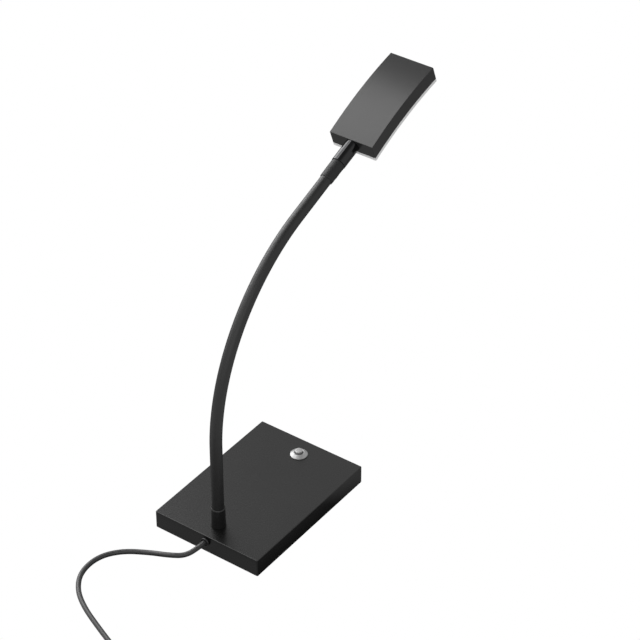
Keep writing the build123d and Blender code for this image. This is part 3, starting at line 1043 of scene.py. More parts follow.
@dataclass
class Studio:
    """Camera, soft lights and a plain white floor, which is dimmer close to the lamp in its reflections."""

    camera_place: Vector = field(default_factory=lambda: Vector((-1.5201, -1.1733, 1.6479)))
    camera_view: Vector = field(default_factory=lambda: Vector((0.653, 0.4714, -0.5928)))
    focal_length: float = 138.04
    sensor: float = 36.0
    floor_size: float = 8.0
    floor_drop: float = 0.2 * MM
    floor_grey: float = 0.1
    card_glow: float = 0.53
    card_centre: Vector = field(default_factory=lambda: Vector((-69.0, 0.0, 0.0)) * MM)
    card_inner: float = 150 * MM
    card_blend: float = 18 * MM
    card_bearing: float = 216.0
    card_sector: tuple[float, float] = (-0.5, 0.1)
    rim_glow: float = 0.13
    side_glow: float = 0.22
    side_rise: tuple[float, float] = (-118 * MM, -106 * MM)
    side_fall: tuple[float, float] = (-90 * MM, -86 * MM)
    dome_glow: float = 0.75
    crown_glow: float = 0.25
    crown_edge: tuple[float, float] = (0.72, 0.95)
    boxes: list[SoftBox] = field(
        default_factory=lambda: [
            SoftBox("side_box", 76.0, 30.0, 1.0, 1.1, 4.8),
            SoftBox("top_box", 82.0, 61.0, 0.8, 0.5, 3.6, 1.5, HEAD_SPOT),
            SoftBox("left_box", 140.0, 50.0, 1.2, 1.1, 1.6),
            SoftBox("low_box", 105.0, 14.0, 1.1, 0.7, 1.6),
            SoftBox("front_box", 212.0, 28.0, 1.6, 1.0, 0.8),
        ]
    )

    def build(self) -> None:
        """Make everything that isn't the lamp."""
        self.set_camera()
        self.lay_floor()
        for box in self.boxes:
            box.hang()
        self.paint_world()

    def set_camera(self) -> None:
        """Camera at its place, level, without shift."""
        data = bpy.data.cameras.new("camera")
        data.lens = self.focal_length
        data.sensor_width = self.sensor
        data.clip_end = 50.0
        camera = bpy.data.objects.new("camera", data)
        camera.location = self.camera_place
        camera.rotation_euler = self.camera_view.to_track_quat("-Z", "Y").to_euler()
        bpy.context.scene.collection.objects.link(camera)
        bpy.context.scene.camera = camera

    def floor_glow(self, paint: Paint) -> Value:
        """Glow of the floor on the lamp: a ring about the neck's foot, brighter on one side, and a strip.

        Args:
            paint: the floor's material.

        Returns:
            The glow from 0 to 1.
        """
        bearing = math.radians(self.card_bearing)
        ahead = (math.cos(bearing), math.sin(bearing), 0.0)
        sockets = {0: paint.place(), 1: self.card_centre}
        offset = paint.node("ShaderNodeVectorMath", {"operation": "SUBTRACT"}, sockets).outputs[0]
        length = paint.node("ShaderNodeVectorMath", {"operation": "LENGTH"}, {0: offset})
        along = paint.node("ShaderNodeVectorMath", {"operation": "DOT_PRODUCT"}, {0: offset, 1: ahead})
        away = Value(paint, length.outputs["Value"])
        facing = (Value(paint, along.outputs["Value"]) / away).above(*self.card_sector)
        ring = away.above(self.card_inner - self.card_blend, self.card_inner + self.card_blend)
        x = paint.along("X")
        strip = x.above(*self.side_rise) * (1 - x.above(*self.side_fall))
        return ring * (facing * self.card_glow + self.rim_glow) + strip * self.side_glow

    def lay_floor(self) -> None:
        """White floor whose glow on the lamp is weaker near it."""
        facets = Facets()
        half = self.floor_size / 2
        corners = [(-half, -half), (half, -half), (half, half), (-half, half)]
        facets.faces.append(tuple(facets.ring([Vector((x, y, -self.floor_drop)) for x, y in corners])))
        floor = facets.piece("floor")
        paint = Paint("floor_paper")
        dark = paint.node("ShaderNodeEmission", {}, {"Strength": 0.0}).outputs[0]
        bright = paint.node("ShaderNodeEmission", {}, {"Strength": 1.0}).outputs[0]
        grey = paint.node("ShaderNodeBsdfDiffuse", {}, {"Color": (self.floor_grey,) * 3}).outputs[0]
        glow = paint.mixed(self.floor_glow(paint), dark, bright)
        dim = paint.node("ShaderNodeAddShader", {}, {0: glow, 1: grey}).outputs[0]
        paint.feed(paint.output.inputs["Surface"], paint.mixed(paint.seen(), dim, bright))
        floor.data.materials.append(paint.material)
        floor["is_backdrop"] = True

    def paint_world(self) -> None:
        """White backdrop, and surroundings that are dimmer overhead in the lamp's reflections."""
        world = bpy.data.worlds.new("studio")
        world.use_nodes = True
        sky = Paint("studio_sky", world.node_tree)
        look = sky.node("ShaderNodeTexCoord", {}, {}).outputs["Generated"]
        climb = Value(sky, sky.node("ShaderNodeSeparateXYZ", {}, {0: look}).outputs["Z"])
        levels = (self.dome_glow, self.crown_glow, 1.0)
        dome, crown, backdrop = (
            sky.node("ShaderNodeBackground", {}, {"Color": (1.0, 1.0, 1.0), "Strength": level}).outputs[0]
            for level in levels
        )
        dim = sky.mixed(climb.above(*self.crown_edge), dome, crown)
        sky.node("ShaderNodeOutputWorld", {}, {"Surface": sky.mixed(sky.seen(), dim, backdrop)})
        bpy.context.scene.world = world
        bpy.context.scene.view_settings.view_transform = "Standard"


# ---------------------------------------------------------------- mains cord


def laid_curve(name: str, points: Sequence[Vector], radius: float, roundness: int) -> bpy.types.Object:
    """Round cord on one smooth curve.

    Args:
        name: the object's name.
        points: its control points.
        radius: the cord's radius.
        roundness: the bevel's resolution.

    Returns:
        The curve, linked to the scene.
    """
    curve = bpy.data.curves.new(name, "CURVE")
    curve.dimensions = "3D"
    curve.bevel_depth = radius
    curve.bevel_resolution = roundness
    curve.resolution_u = 12
    curve.use_fill_caps = True
    spline = curve.splines.new("NURBS")
    spline.points.add(len(points) - 1)
    for knot, point in zip(spline.points, points):
        knot.co = (*point, 1.0)
    spline.order_u = 3
    spline.use_endpoint_u = True
    cord = bpy.data.objects.new(name, curve)
    bpy.context.scene.collection.objects.link(cord)
    return cord


@dataclass
class MainsCord:
    """Cord from the base's bush over the table to a tied coil, with its plug."""

    diameter: float = 5.3 * MM
    length: float = 1.80
    exit_height: float = 13.9 * MM
    exit_x: float = -88.5 * MM
    face_x: float = -90.0 * MM
    turn_pitch: float = 5.4 * MM
    inner_turn: float = 22.3 * MM
    columns: int = 4
    points_per_turn: int = 14
    plug_half_height: float = 6.85 * MM
    plug_half_width: float = 17.65 * MM
    plug_length: float = 36.0 * MM
    plug_waist: float = 6.0 * MM
    plug_thinning: float = 0.9 * MM
    plug_edge: float = 1.2 * MM
    plug_taper: tuple[float, float] = (9.0 * MM, 33.0 * MM)
    plug_step: float = 0.4 * MM
    plug_points: int = 72
    grip_depth: float = 0.3 * MM
    grip_pitch: float = 2.6 * MM
    relief_start: float = 15.0 * MM
    relief_length: float = 24.0 * MM
    relief_radii: tuple[float, float] = (4.7 * MM, 3.2 * MM)
    rib_pitch: float = 4.0 * MM
    rib_gap: float = 1.2 * MM
    rib_depth: float = 0.5 * MM
    pin_spacing: float = 18.6 * MM
    pin_radius: float = 2.0 * MM
    pin_length: float = 19.0 * MM
    pin_root: float = 8.0 * MM
    tie_angle: float = 205.0
    tie_width: float = 4.5 * MM
    tie_thickness: float = 0.8 * MM
    bush_root: float = 5.5 * MM
    bush_neck: float = 3.95 * MM
    bush_wall: float = 2.02 * MM
    bush_rise: float = 2.4 * MM
    slip: float = 0.03 * MM

    def route(self) -> list[Vector]:
        """Points of the cord from the bush to the coil.

        Returns:
            The points that shape the smooth curve.
        """
        floor = self.diameter / 2 / MM
        points = [
            (-88.5, 0.0, 13.9),
            (-101.0, 0.0, 13.9),
            (-115.0, 6.4, 9.5),
            (-123.8, 20.7, 9.1),
            (-126.6, 43.9, floor),
            (-140.7, 67.3, floor),
            (-161.6, 81.4, floor),
            (-188.7, 80.8, floor),
            (-210.2, 67.0, floor),
            (-226.0, 44.8, floor),
            (-240.6, 12.8, floor),
            (-253.2, -16.9, floor),
            (-268.0, -47.0, floor),
        ]
        return [Vector(point) * MM for point in points]

    def heading(self) -> Vector:
        """Direction in which the cord enters the coil."""
        route = self.route()
        return (route[-1] - route[-2]).normalized()

    def coil_centre(self) -> Vector:
        """Centre of the coil, to the right of the cord as it enters.

        Returns:
            The centre, on the floor.
        """
        ahead = self.heading()
        entry = self.route()[-1]
        centre = entry + Vector((ahead.y, -ahead.x, 0.0)) * self.outer_turn()
        return Vector((centre.x, centre.y, 0.0))

    def outer_turn(self) -> float:
        """Radius of the coil's outermost turn."""
        return self.inner_turn + self.turn_pitch * (self.columns - 1)

    def coil_points(self) -> Iterator[Vector]:
        """Points of the turns: inwards on the floor, then outwards on top of them.

        Yields:
            The curve's points.
        """
        centre = self.coil_centre()
        entry = self.route()[-1] - centre
        start = math.atan2(entry.y, entry.x)
        outer = self.outer_turn()
        slope = (outer - self.inner_turn) / (self.columns - 0.5)
        wide = 1 / math.cos(math.pi / self.points_per_turn)
        per_layer = self.points_per_turn * self.columns
        step = -2 * math.pi / self.points_per_turn
        for i in range(1, 2 * per_layer + 1):
            turns = i / self.points_per_turn
            inward = min(turns, 2 * self.columns - turns)
            radius = max(outer - slope * inward, self.inner_turn)
            lift = min(max((turns - self.columns + 0.5), 0.0), 1.0)
            height = self.diameter * (0.5 + lift)
            angle = start + step * i
            spot = Vector((math.cos(angle), math.sin(angle), 0.0)) * radius * wide
            yield centre + spot + Vector((0.0, 0.0, height))

    def tail_points(self) -> list[Vector]:
        """Points from the coil to the plug's relief.

        Returns:
            The points.
        """
        ahead = self.heading()
        entry = self.route()[-1]
        top, level = 1.5 * self.diameter, self.plug_half_height
        reach = [(6.0 * MM, top), (12.0 * MM, 7.2 * MM), (18.0 * MM, level), (24.0 * MM, level)]
        start = Vector((entry.x, entry.y, 0.0))
        return [start + ahead * along + Vector((0, 0, height)) for along, height in reach]

    def build(self) -> None:
        points = self.route() + list(self.coil_points()) + self.tail_points()
        cord = laid_curve("mains_cord", points, self.diameter / 2, 7)
        fit(cord, Finish.CORD, Body.BASE.value, "cord_pvc", "cord_lead", "cord_coil")
        pieces = [self.make_plug(), self.make_pins(), self.make_tie(), self.make_bush()]
        self.length

    def plug_place(self) -> Matrix:
        """Middle of the plug's face: X points out along the pins.

        Returns:
            The plug's own frame.
        """
        ahead = self.heading()
        reach = self.relief_start + self.relief_length + self.plug_length
        spot = self.route()[-1] + ahead * reach
        spot.z = self.plug_half_height
        return Matrix.Translation(spot) @ Matrix.Rotation(math.atan2(ahead.y, ahead.x), 4, "Z")

    def plug_section(self, u: float) -> tuple[float, float, float]:
        """Half width, half height and squareness of the plug behind its face.

        Args:
            u: distance behind the face.

        Returns:
            The section's measures.
        """
        wide, high = self.plug_half_width, self.plug_half_height
        if u > self.plug_length:
            share = (u - self.plug_length) / self.relief_length
            thick = self.relief_radii[0] + (self.relief_radii[1] - self.relief_radii[0]) * share
            along = (u / MM) % (self.rib_pitch / MM)
            ribbed = along < self.rib_gap / MM and 0.1 < share < 0.85
            groove = self.rib_depth if ribbed else 0.0
            return thick - groove, thick - groove, 2.0
        start, end = self.plug_taper
        taper = min(max((u - start) / (end - start), 0.0), 1.0)
        taper = taper * taper * (3 - 2 * taper)
        edge = self.plug_edge
        cut = edge - math.sqrt(max(edge**2 - max(edge - u, 0.0) ** 2, 0.0))
        wave = max(math.cos(2 * math.pi * u / self.grip_pitch), 0.0)
        grip = self.grip_depth * wave if 0.05 < taper < 0.8 else 0.0
        half_width = wide + (self.plug_waist - wide) * taper - cut - grip
        return half_width, high - cut - self.plug_thinning * taper, 6.0 - 3.6 * taper

    def make_plug(self) -> bpy.types.Object:
        """Flat two-pin plug with grip ridges and a ribbed, tapered relief.

        Returns:
            The plug.
        """
        place = self.plug_place()
        whole = self.plug_length + self.relief_length
        depths = [0.0, 0.15 * MM, 0.5 * MM]
        depths += [self.plug_step * step for step in range(3, round(whole / self.plug_step) + 1)]
        rings = []
        for u in depths:
            half_width, half_height, square = self.plug_section(u)
            ring = []
            for i in range(self.plug_points):
                turn = 2 * math.pi * i / self.plug_points
                c, d = math.cos(turn), math.sin(turn)
                y = half_width * math.copysign(abs(c) ** (2 / square), c)
                z = half_height * math.copysign(abs(d) ** (2 / square), d)
                ring.append(place @ Vector((-u, y, z)))
            rings.append(ring)
        facets = Facets()
        numbers = facets.loft(rings[::-1])
        facets.fan(numbers[0], place @ Vector((-whole, 0, 0)), outward=False)
        facets.fan(numbers[-1], place @ Vector((0, 0, 0)), outward=True)
        plug = facets.piece("plug_grip", 50)
        return fit(plug, Finish.PLUG, Body.BASE.value, "black_plastic", "plug_body")

    def make_pins(self) -> bpy.types.Object:
        """Two round pins with rounded tips, stepped where their insulation ends.

        Returns:
            The pins.
        """
        radius, length = self.pin_radius, self.pin_length
        outline = [
            (0.0, -self.pin_root),
            (radius, -self.pin_root),
            (radius, 0.5 * length),
            (0.94 * radius, 0.5 * length + 0.15 * MM),
            (0.94 * radius, length - 1.2 * MM),
            (0.45 * radius, length),
            (0.0, length),
        ]
        facets = Facets()
        along = Matrix.Rotation(math.pi / 2, 4, "Y")
        for side in (-0.5, 0.5):
            aside = Matrix.Translation(Vector((0, side * self.pin_spacing, 0)))
            place = self.plug_place() @ aside @ along
            lathe(facets, soften(outline, 0.9 * MM, 5, closed=False), place, 40)
        pins = facets.piece("contact_pins")
        return fit(pins, Finish.PINS, Body.BASE.value, "brass_contact", "plug_pins")

    def make_tie(self) -> bpy.types.Object:
        """Strap round the turns, with a twisted end outside.

        Returns:
            The strap.
        """
        thick = self.tie_thickness
        inner = self.inner_turn - self.diameter / 2 - thick / 2
        outer = self.outer_turn() + self.diameter / 2 + thick / 2
        top = 2 * self.diameter + thick / 2
        corners = [(inner, thick / 2), (outer, thick / 2), (outer, top), (inner, top)]
        path = soften(corners, 2.2 * MM, 6)
        middle = Vector(((inner + outer) / 2, (thick / 2 + top) / 2))
        place = Matrix.Translation(self.coil_centre()) @ Matrix.Rotation(math.radians(self.tie_angle), 4, "Z")
        half, skin = self.tie_width / 2, thick / 2
        section = [(half, 0.4 * skin), (0.9 * half, skin), (-0.9 * half, skin), (-half, 0.4 * skin)]
        section += [(w, -h) for w, h in reversed(section)]
        rings = []
        for i, spot in enumerate(path):
            here = Vector(spot)
            run = Vector(path[(i + 1) % len(path)]) - Vector(path[i - 1])
            out = Vector((run.y, -run.x)).normalized()
            if out.dot(here - middle) < 0:
                out = -out
            rings.append([place @ Vector((here.x + out.x * h, w, here.y + out.y * h)) for w, h in section])
        facets = Facets()
        facets.loft(rings, closed=True)
        tail = []
        tail_steps, tail_length, tail_height, overlap = 8, 3.0 * MM, 5.0 * MM, 0.1 * MM
        for i in range(tail_steps + 1):
            turn = math.pi * i / tail_steps
            across = Vector((0, math.cos(turn), math.sin(turn)))
            up = Vector((0, -math.sin(turn), math.cos(turn)))
            spot = Vector((outer + skin + tail_length * i / tail_steps - overlap, 0, tail_height))
            tail.append([place @ (spot + across * w * 0.55 + up * h * 0.8) for w, h in section])
        numbers = facets.loft(tail)
        facets.faces.append(tuple(numbers[0][::-1]))
        facets.faces.append(tuple(numbers[-1]))
        tie = facets.piece("coil_strap", 50)
        return fit(tie, Finish.TIE, Body.BASE.value, "tie_plastic", "cord_tie")

    def make_bush(self) -> bpy.types.Object:
        """Bush in the base's side, with a raised rim round the cord.

        Returns:
            The bush.
        """
        bore = self.diameter / 2 + self.slip
        outline = [
            (bore, -self.bush_root),
            (4.3 * MM, -self.bush_root),
            (4.6 * MM, -self.bush_wall),
            (self.bush_neck, -self.bush_wall),
            (self.bush_neck, 0.02 * MM),
            (4.7 * MM, 0.02 * MM),
            (4.95 * MM, 1.5 * MM),
            (4.6 * MM, self.bush_rise),
            (4.0 * MM, self.bush_rise),
            (3.7 * MM, 1.0 * MM),
            (bore, 0.7 * MM),
        ]
        spot = Vector((self.face_x, 0.0, self.exit_height))
        place = Matrix.Translation(spot) @ Matrix.Rotation(-math.pi / 2, 4, "Y")
        facets = Facets()
        lathe(facets, soften(outline, 0.3 * MM, 3), place, 56)
        bush = facets.piece("cord_bush", 50)
        return fit(bush, Finish.GLAND, Body.BASE.value, "black_plastic", "cord_gland")


# ---------------------------------------------------------------- base


def rounded_step(
    start: tuple[float, float], turn: tuple[float, float], radius: float, steps: int = 5
) -> Profile:
    """Quarter arc of (inset, height) points.

    Args:
        start: centre of the arc.
        turn: first and last angle in degrees, 0 along the inset and 90 along the height.
        radius: arc radius.
        steps: points along the arc, less one.

    Returns:
        The points.
    """
    angles = [math.radians(turn[0] + (turn[1] - turn[0]) * step / steps) for step in range(steps + 1)]
    return [(start[0] + radius * math.cos(angle), start[1] + radius * math.sin(angle)) for angle in angles]


@dataclass
class Base:
    """Flat weighted box: coated shell, foam pad and what they hide."""

    wall: float = 2.0 * MM
    corner: float = 1.3 * MM
    top_round: float = 0.7 * MM
    lip_round: float = 0.3 * MM
    neck_hole: float = 5.1 * MM
    switch_hole: float = 8.0 * MM
    gland_hole: float = 4.0 * MM
    foot_x: float = -69.0 * MM
    switch_x: float = 67.7 * MM
    gland_z: float = 13.9 * MM

    def build(self) -> None:
        """Make the shell and the pad, and dress the nodes inside."""
        self.make_shell()
        self.make_pad()
        dress_nodes(
            {
                "base_weight": Finish.IRON,
                "bottom_plate": Finish.ZINC,
                "bottom_screws": Finish.ZINC,
                "driver_case": Finish.BLACK_PLASTIC,
                "driver_board": Finish.BOARD,
                "driver_transformer": Finish.FERRITE,
                "driver_capacitors": Finish.SHRINK_SLEEVE,
                "terminal_block": Finish.POLYAMIDE,
                "terminal_screws": Finish.BRASS,
                "supply_cores": Finish.MAINS_WIRES,
                "internal_leads": Finish.INNER_WIRES,
            }
        )

    def make_shell(self) -> None:
        """Pressed box with rounded edges, bored for the neck, the switch and the cord."""
        low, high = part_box("base_cover")
        slab = Slab(high.x - low.x, high.y - low.y, self.corner)
        roof = high.z - self.wall
        levels = [(self.wall, roof), (self.wall, low.z)]
        levels += rounded_step((self.lip_round, low.z + self.lip_round), (270, 180), self.lip_round, 2)
        levels += rounded_step((self.top_round, high.z - self.top_round), (180, 90), self.top_round)
        facets = Facets()
        slab.loft(facets, levels, lambda u, w, height: Vector((low.x + u, w, height)))
        shell = facets.piece("base_shell")
        drill(shell, self.cutters(low, high))
        smooth(shell)
        weigh_normals(shell)
        fit(shell, Finish.BASE_COAT, Body.BASE.value, "black_powder_coat", "base_cover")

    def cutters(self, low: Vector, high: Vector) -> list[bpy.types.Object]:
        """Rods that bore the shell's holes.

        Args:
            low: the shell's lowest corner.
            high: its highest corner.

        Returns:
            The rods.
        """
        deep = 3 * self.wall
        upright = [
            (Vector((self.foot_x, 0, high.z)), self.neck_hole),
            (Vector((self.switch_x, 0, high.z)), self.switch_hole),
        ]
        places = [(Matrix.Translation(spot), radius) for spot, radius in upright]
        level = Matrix.Translation(Vector((low.x, 0, self.gland_z))) @ Matrix.Rotation(math.pi / 2, 4, "Y")
        places.append((level, self.gland_hole))
        rods = []
        for place, radius in places:
            facets = Facets()
            lathe(facets, [(0, -deep), (radius, -deep), (radius, deep), (0, deep)], place, 48)
            rods.append(facets.piece("rod"))
        return rods

    def make_pad(self) -> None:
        """Foam pad with soft edges under the whole base."""
        low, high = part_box("anti_slip_pad")
        slab = Slab(high.x - low.x, high.y - low.y, 2.0 * MM, stations=40)
        soft = 0.35 * (high.z - low.z)
        levels = rounded_step((soft, low.z + soft), (270, 180), soft, 3)
        levels += rounded_step((soft, high.z - soft), (180, 90), soft, 3)
        facets = Facets()
        slab.loft(facets, levels, lambda u, w, height: Vector((low.x + u, w, height)))
        pad = facets.piece("foam_pad")
        weigh_normals(pad)
        fit(pad, Finish.PAD, Body.BASE.value, "pad_foam", "anti_slip_pad")


# ---------------------------------------------------------------- push switch


@dataclass
class PushSwitch:
    """Metal push switch: bezel, button, seal, nut, spring and contacts."""

    x: float = 67.7 * MM
    table: float = 21.1 * MM
    flange: float = 9.2 * MM
    flange_edge: float = 0.9 * MM
    ring: float = 5.9 * MM
    ring_rise: float = 3.3 * MM
    bore: float = 4.45 * MM
    barrel: float = 7.9 * MM
    barrel_bottom: float = 9.5 * MM
    barrel_bore: float = 6.5 * MM
    seal_groove: tuple[float, float] = (8.1 * MM, 8.9 * MM)
    seal_depth: float = 0.4 * MM
    shoulder: float = 20.3 * MM
    button: float = 4.1 * MM
    button_rise: float = 6.0 * MM
    button_flange: float = 6.0 * MM
    flange_play: float = 0.05 * MM
    flange_under: float = 1.2 * MM
    shaft: float = 17.5 * MM
    shaft_radius: float = 2.0 * MM
    travel: float = 1.7 * MM
    spring_low: float = 12.5 * MM
    spring_wire: float = 0.3 * MM
    spring_coil: float = 3.6 * MM
    spring_turns: int = 4
    spring_play: float = 0.02 * MM

    def build(self) -> None:
        """Make the bezel, the button and the spring, and dress the rest."""
        self.make_bezel()
        self.make_button()
        self.make_spring()
        dress_nodes(
            {
                "switch_seal": Finish.SEAL,
                "switch_nut": Finish.ZINC,
                "switch_contact_block": Finish.BLACK_PLASTIC,
                "switch_terminals": Finish.BRASS,
            }
        )

    def place(self) -> Matrix:
        """The switch's axis."""
        return Matrix.Translation(Vector((self.x, 0, 0)))

    def make_bezel(self) -> None:
        """Bezel with a coned flank, turned in one with its threaded barrel."""
        top = self.table + self.ring_rise
        groove = self.table + self.seal_depth
        inner, outer = self.seal_groove
        outline = [
            (self.barrel, self.barrel_bottom),
            (self.barrel, self.table),
            (inner, self.table),
            (inner, groove),
            (outer, groove),
            (outer, self.table),
            (self.flange, self.table),
            (self.flange, self.table + self.flange_edge),
            (self.ring, top),
            (self.bore, top),
            (self.bore, self.shoulder),
            (self.barrel_bore, self.shoulder),
            (self.barrel_bore, self.barrel_bottom),
        ]
        facets = Facets()
        lathe(facets, soften(outline, 0.28 * MM, 3), self.place(), 96)
        bezel = facets.piece("switch_bezel", 50)
        weigh_normals(bezel)
        fit(bezel, Finish.SWITCH_METAL, Body.BASE.value, "bright_chrome", "switch_barrel")

    def make_button(self) -> None:
        """Domed button on a flanged shaft."""
        top = self.table + self.button_rise
        edge = self.button
        under, over = self.shoulder - self.flange_under, self.shoulder - self.flange_play
        outline = [
            (0, self.shaft),
            (self.shaft_radius, self.shaft),
            (self.shaft_radius, under),
            (self.button_flange, under),
            (self.button_flange, over),
            (edge, over),
            (edge, top - 0.55 * MM),
            (edge - 0.45 * MM, top - 0.2 * MM),
            (0.6 * edge, top - 0.06 * MM),
            (0, top),
        ]
        facets = Facets()
        lathe(facets, soften(outline, 0.3 * MM, 4, closed=False), self.place(), 72)
        button = facets.piece("switch_cap", 50)
        weigh_normals(button)
        fit(button, Finish.SWITCH_METAL, Body.BUTTON.value, "bright_chrome", "switch_button")

    def make_spring(self) -> None:
        """Return spring, coiled from its seat up to under the button's flange."""
        seat = self.shoulder - self.flange_under - self.spring_play
        low = self.spring_low + self.spring_wire
        high = seat - self.spring_wire
        steps = 24 * self.spring_turns
        facets = Facets()
        rings = []
        for i in range(steps + 1):
            turn = 2 * math.pi * self.spring_turns * i / steps
            out = Vector((math.cos(turn), math.sin(turn), 0))
            middle = Vector((self.x, 0, low + (high - low) * i / steps)) + out * self.spring_coil
            around = [2 * math.pi * j / 8 for j in range(8)]
            up = Vector((0, 0, 1))
            rings.append([middle + self.spring_wire * (out * math.cos(a) + up * math.sin(a)) for a in around])
        numbers = facets.loft(rings)
        facets.faces.append(tuple(numbers[0][::-1]))
        facets.faces.append(tuple(numbers[-1]))
        spring = facets.piece("return_spring", 60)
        fit(spring, Finish.SPRING, Body.BASE.value, "spring_steel", "switch_spring")
        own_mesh(spring)


# ---------------------------------------------------------------- gooseneck


@dataclass
class Neck:
    """Gooseneck: sleeve, wound core and lead, each made in spans about its joints, with its end fittings."""

    foot_x: float = -69.0 * MM
    table: float = 21.1 * MM
    upright: float = 99.2 * MM
    bend_radius: float = 212.3 * MM
    tilt: float = math.radians(20.8)
    straight: float = 98.3 * MM
    first_joint: float = 47.0 * MM
    pitch: float = 40.5 * MM
    joints: int = 9
    sleeve_low: float = 6.4 * MM
    sleeve_high: float = 6.2 * MM
    sleeve_bore: float = 4.9 * MM
    core_radius: float = 4.75 * MM
    core_bore: float = 3.0 * MM
    wire_pitch: float = 2.4 * MM
    wire_groove: float = 0.35 * MM
    lead_radius: float = 1.7 * MM
    sleeve_start: float = 16.0 * MM
    sleeve_end: float = 416.0 * MM
    core_start: float = 4.0 * MM
    core_end: float = 430.0 * MM
    lead_start: float = 6.0 * MM
    lead_tail: float = 24.0 * MM
    collar_radius: float = 7.6 * MM
    collar_flare: float = 0.3 * MM
    collar_height: float = 23.8 * MM
    collar_bevel: float = 1.1 * MM
    boot_start: float = 406.0 * MM
    boot_end: float = 428.2 * MM
    boot_radius: float = 7.3 * MM
    stem_radius: float = 7.7 * MM

    @property
    def bend(self) -> float:
        """Whole turn of the bend."""
        return math.pi / 2 - self.tilt

    @property
    def length(self) -> float:
        """Length of the centreline."""
        return self.upright + self.bend_radius * self.bend + self.straight

    def lean(self, station: float) -> float:
        """Lean from the vertical at a station."""
        return min(max(station - self.upright, 0.0) / self.bend_radius, self.bend)

    def point(self, station: float) -> Vector:
        """Centreline point at a distance from the top of the base.

        Args:
            station: distance along the centreline.

        Returns:
            The point.
        """
        lean = self.lean(station)
        beyond = max(station - self.upright - self.bend_radius * self.bend, 0.0)
        x = self.foot_x + self.bend_radius * (1 - math.cos(lean)) + beyond * math.sin(lean)
        rise = self.bend_radius * math.sin(lean) + beyond * math.cos(lean)
        return Vector((x, 0.0, self.table + min(station, self.upright) + rise))

    def place(self, station: float) -> Matrix:
        """Plane across the neck: its Z axis points along the centreline to the head."""
        turn = Matrix.Rotation(self.lean(station), 4, "Y")
        return Matrix.Translation(self.point(station)) @ turn

    def build(self) -> None:
        """Make every piece of the neck."""
        self.make_spans("sleeve", self.sleeve_start, self.sleeve_end, self.make_sleeve)
        self.make_spans("wound_core", self.core_start, self.core_end, self.make_core)
        self.make_spans("lead", self.lead_start, self.length + self.lead_tail, self.make_lead)
        self.make_lead_tail()
        self.make_collar()
        self.make_boot()
        self.make_stem()
        dress_nodes(
            {
                "neck_ferrule": Finish.ZINC,
                "lock_washer": Finish.ZINC,
                "neck_nut": Finish.ZINC,
                "stem_nut": Finish.ZINC,
            }
        )

    def make_spans(
        self, kind: str, start: float, end: float, make: Callable[[str, float, float, int], bpy.types.Object]
    ) -> None:
        """Make one piece for each joint, from half-way before it to half-way after it, bent across it.

        Args:
            kind: first part of the pieces' names.
            Make one piece for each joint, from half-way before it to half-way after it.
            end: station where the last piece ends.
            make: makes a piece from its name, stations and number.
        """
        for i in range(self.joints):
            joint = self.first_joint + self.pitch * i
            before, after = joint - self.pitch / 2, joint + self.pitch / 2
            low = start if i == 0 else before
            high = end if i == self.joints - 1 else after
            piece = make(f"{kind}_{i + 1:02d}", low, high, i)
            bodies = Body.link(i, self.joints), Body.link(i + 1, self.joints)
            self.point(before)
            self.point(after)
            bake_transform(piece)

    def span_nodes(self, kind: str, number: int) -> list[str]:
        """Nodes that one span stands for: its own, and with the last span the one after it.

        Args:
            kind: first part of the nodes' names.
            number: the span's number from 0.

        Returns:
            The nodes' names.
        """
        last = number == self.joints - 1
        return [f"{kind}_{i:02d}" for i in range(number + 1, number + (3 if last else 2))]

    def stations(self, low: float, high: float, step: float) -> list[float]:
        """Even stations between two, at most a step apart."""
        count = max(2, math.ceil((high - low) / step))
        return [low + (high - low) * i / count for i in range(count + 1)]

    def tube(
        self, name: str, stations: Sequence[float], outer: Callable[[float], float], bore: float, count: int
    ) -> bpy.types.Object:
        """Tube along the neck, or a rod without a bore.

        Args:
            name: the piece's name.
            stations: where its rings are.
            outer: outer radius at a station.
            bore: inner radius, or 0 for a rod.
            count: points round it.

        Returns:
            The object.
        """
        facets = Facets()
        rings = [[self.place(s) @ point for point in circle(outer(s), 0.0, count)] for s in stations]
        if bore > 0:
            rings += [
                [self.place(s) @ point for point in circle(bore, 0.0, count)]
                for s in (stations[-1], *reversed(stations[1:-1]), stations[0])
            ]
            facets.loft(rings, closed=True)
            return facets.piece(name)
        numbers = facets.loft(rings)
        facets.faces.append(tuple(numbers[0][::-1]))
        facets.faces.append(tuple(numbers[-1]))
        return facets.piece(name)

    def make_sleeve(self, name: str, low: float, high: float, number: int) -> bpy.types.Object:
        """One span of the rubber sleeve, a little thinner towards the head.

        Args:
            name: the piece's name.
            low: station where it starts.
            high: station where it ends.
            number: the span's number from 0.

        Returns:
            The span.
        """

        def outer(station: float) -> float:
            """Outer radius, tapered evenly."""
            share = station / self.length
            return self.sleeve_low + (self.sleeve_high - self.sleeve_low) * share

        sleeve = self.tube(name, self.stations(low, high, 1.5 * MM), outer, self.sleeve_bore, 56)
        dress(sleeve, Finish.SLEEVE)
        stand_for(sleeve, "neck_rubber", *self.span_nodes("neck_sleeve", number))
        return sleeve

    def make_core(self, name: str, low: float, high: float, number: int) -> bpy.types.Object:
        """One span of the wound steel core, with a groove between its turns.

        Args:
            name: the piece's name.
            low: station where it starts.
            high: station where it ends.
            number: the span's number from 0.

        Returns:
            The span.
        """

        def outer(station: float) -> float:
            """Outer radius, round over each turn of wire."""
            phase = (station / self.wire_pitch) % 1.0
            return self.core_radius - self.wire_groove * (1 - math.sqrt(math.sin(math.pi * phase)))

        stations = self.stations(low, high, self.wire_pitch / 6)
        core = self.tube(name, stations, outer, self.core_bore, 28)
        dress(core, Finish.SPRING)
        stand_for(core, "spring_steel", *self.span_nodes("neck_core", number))
        return core

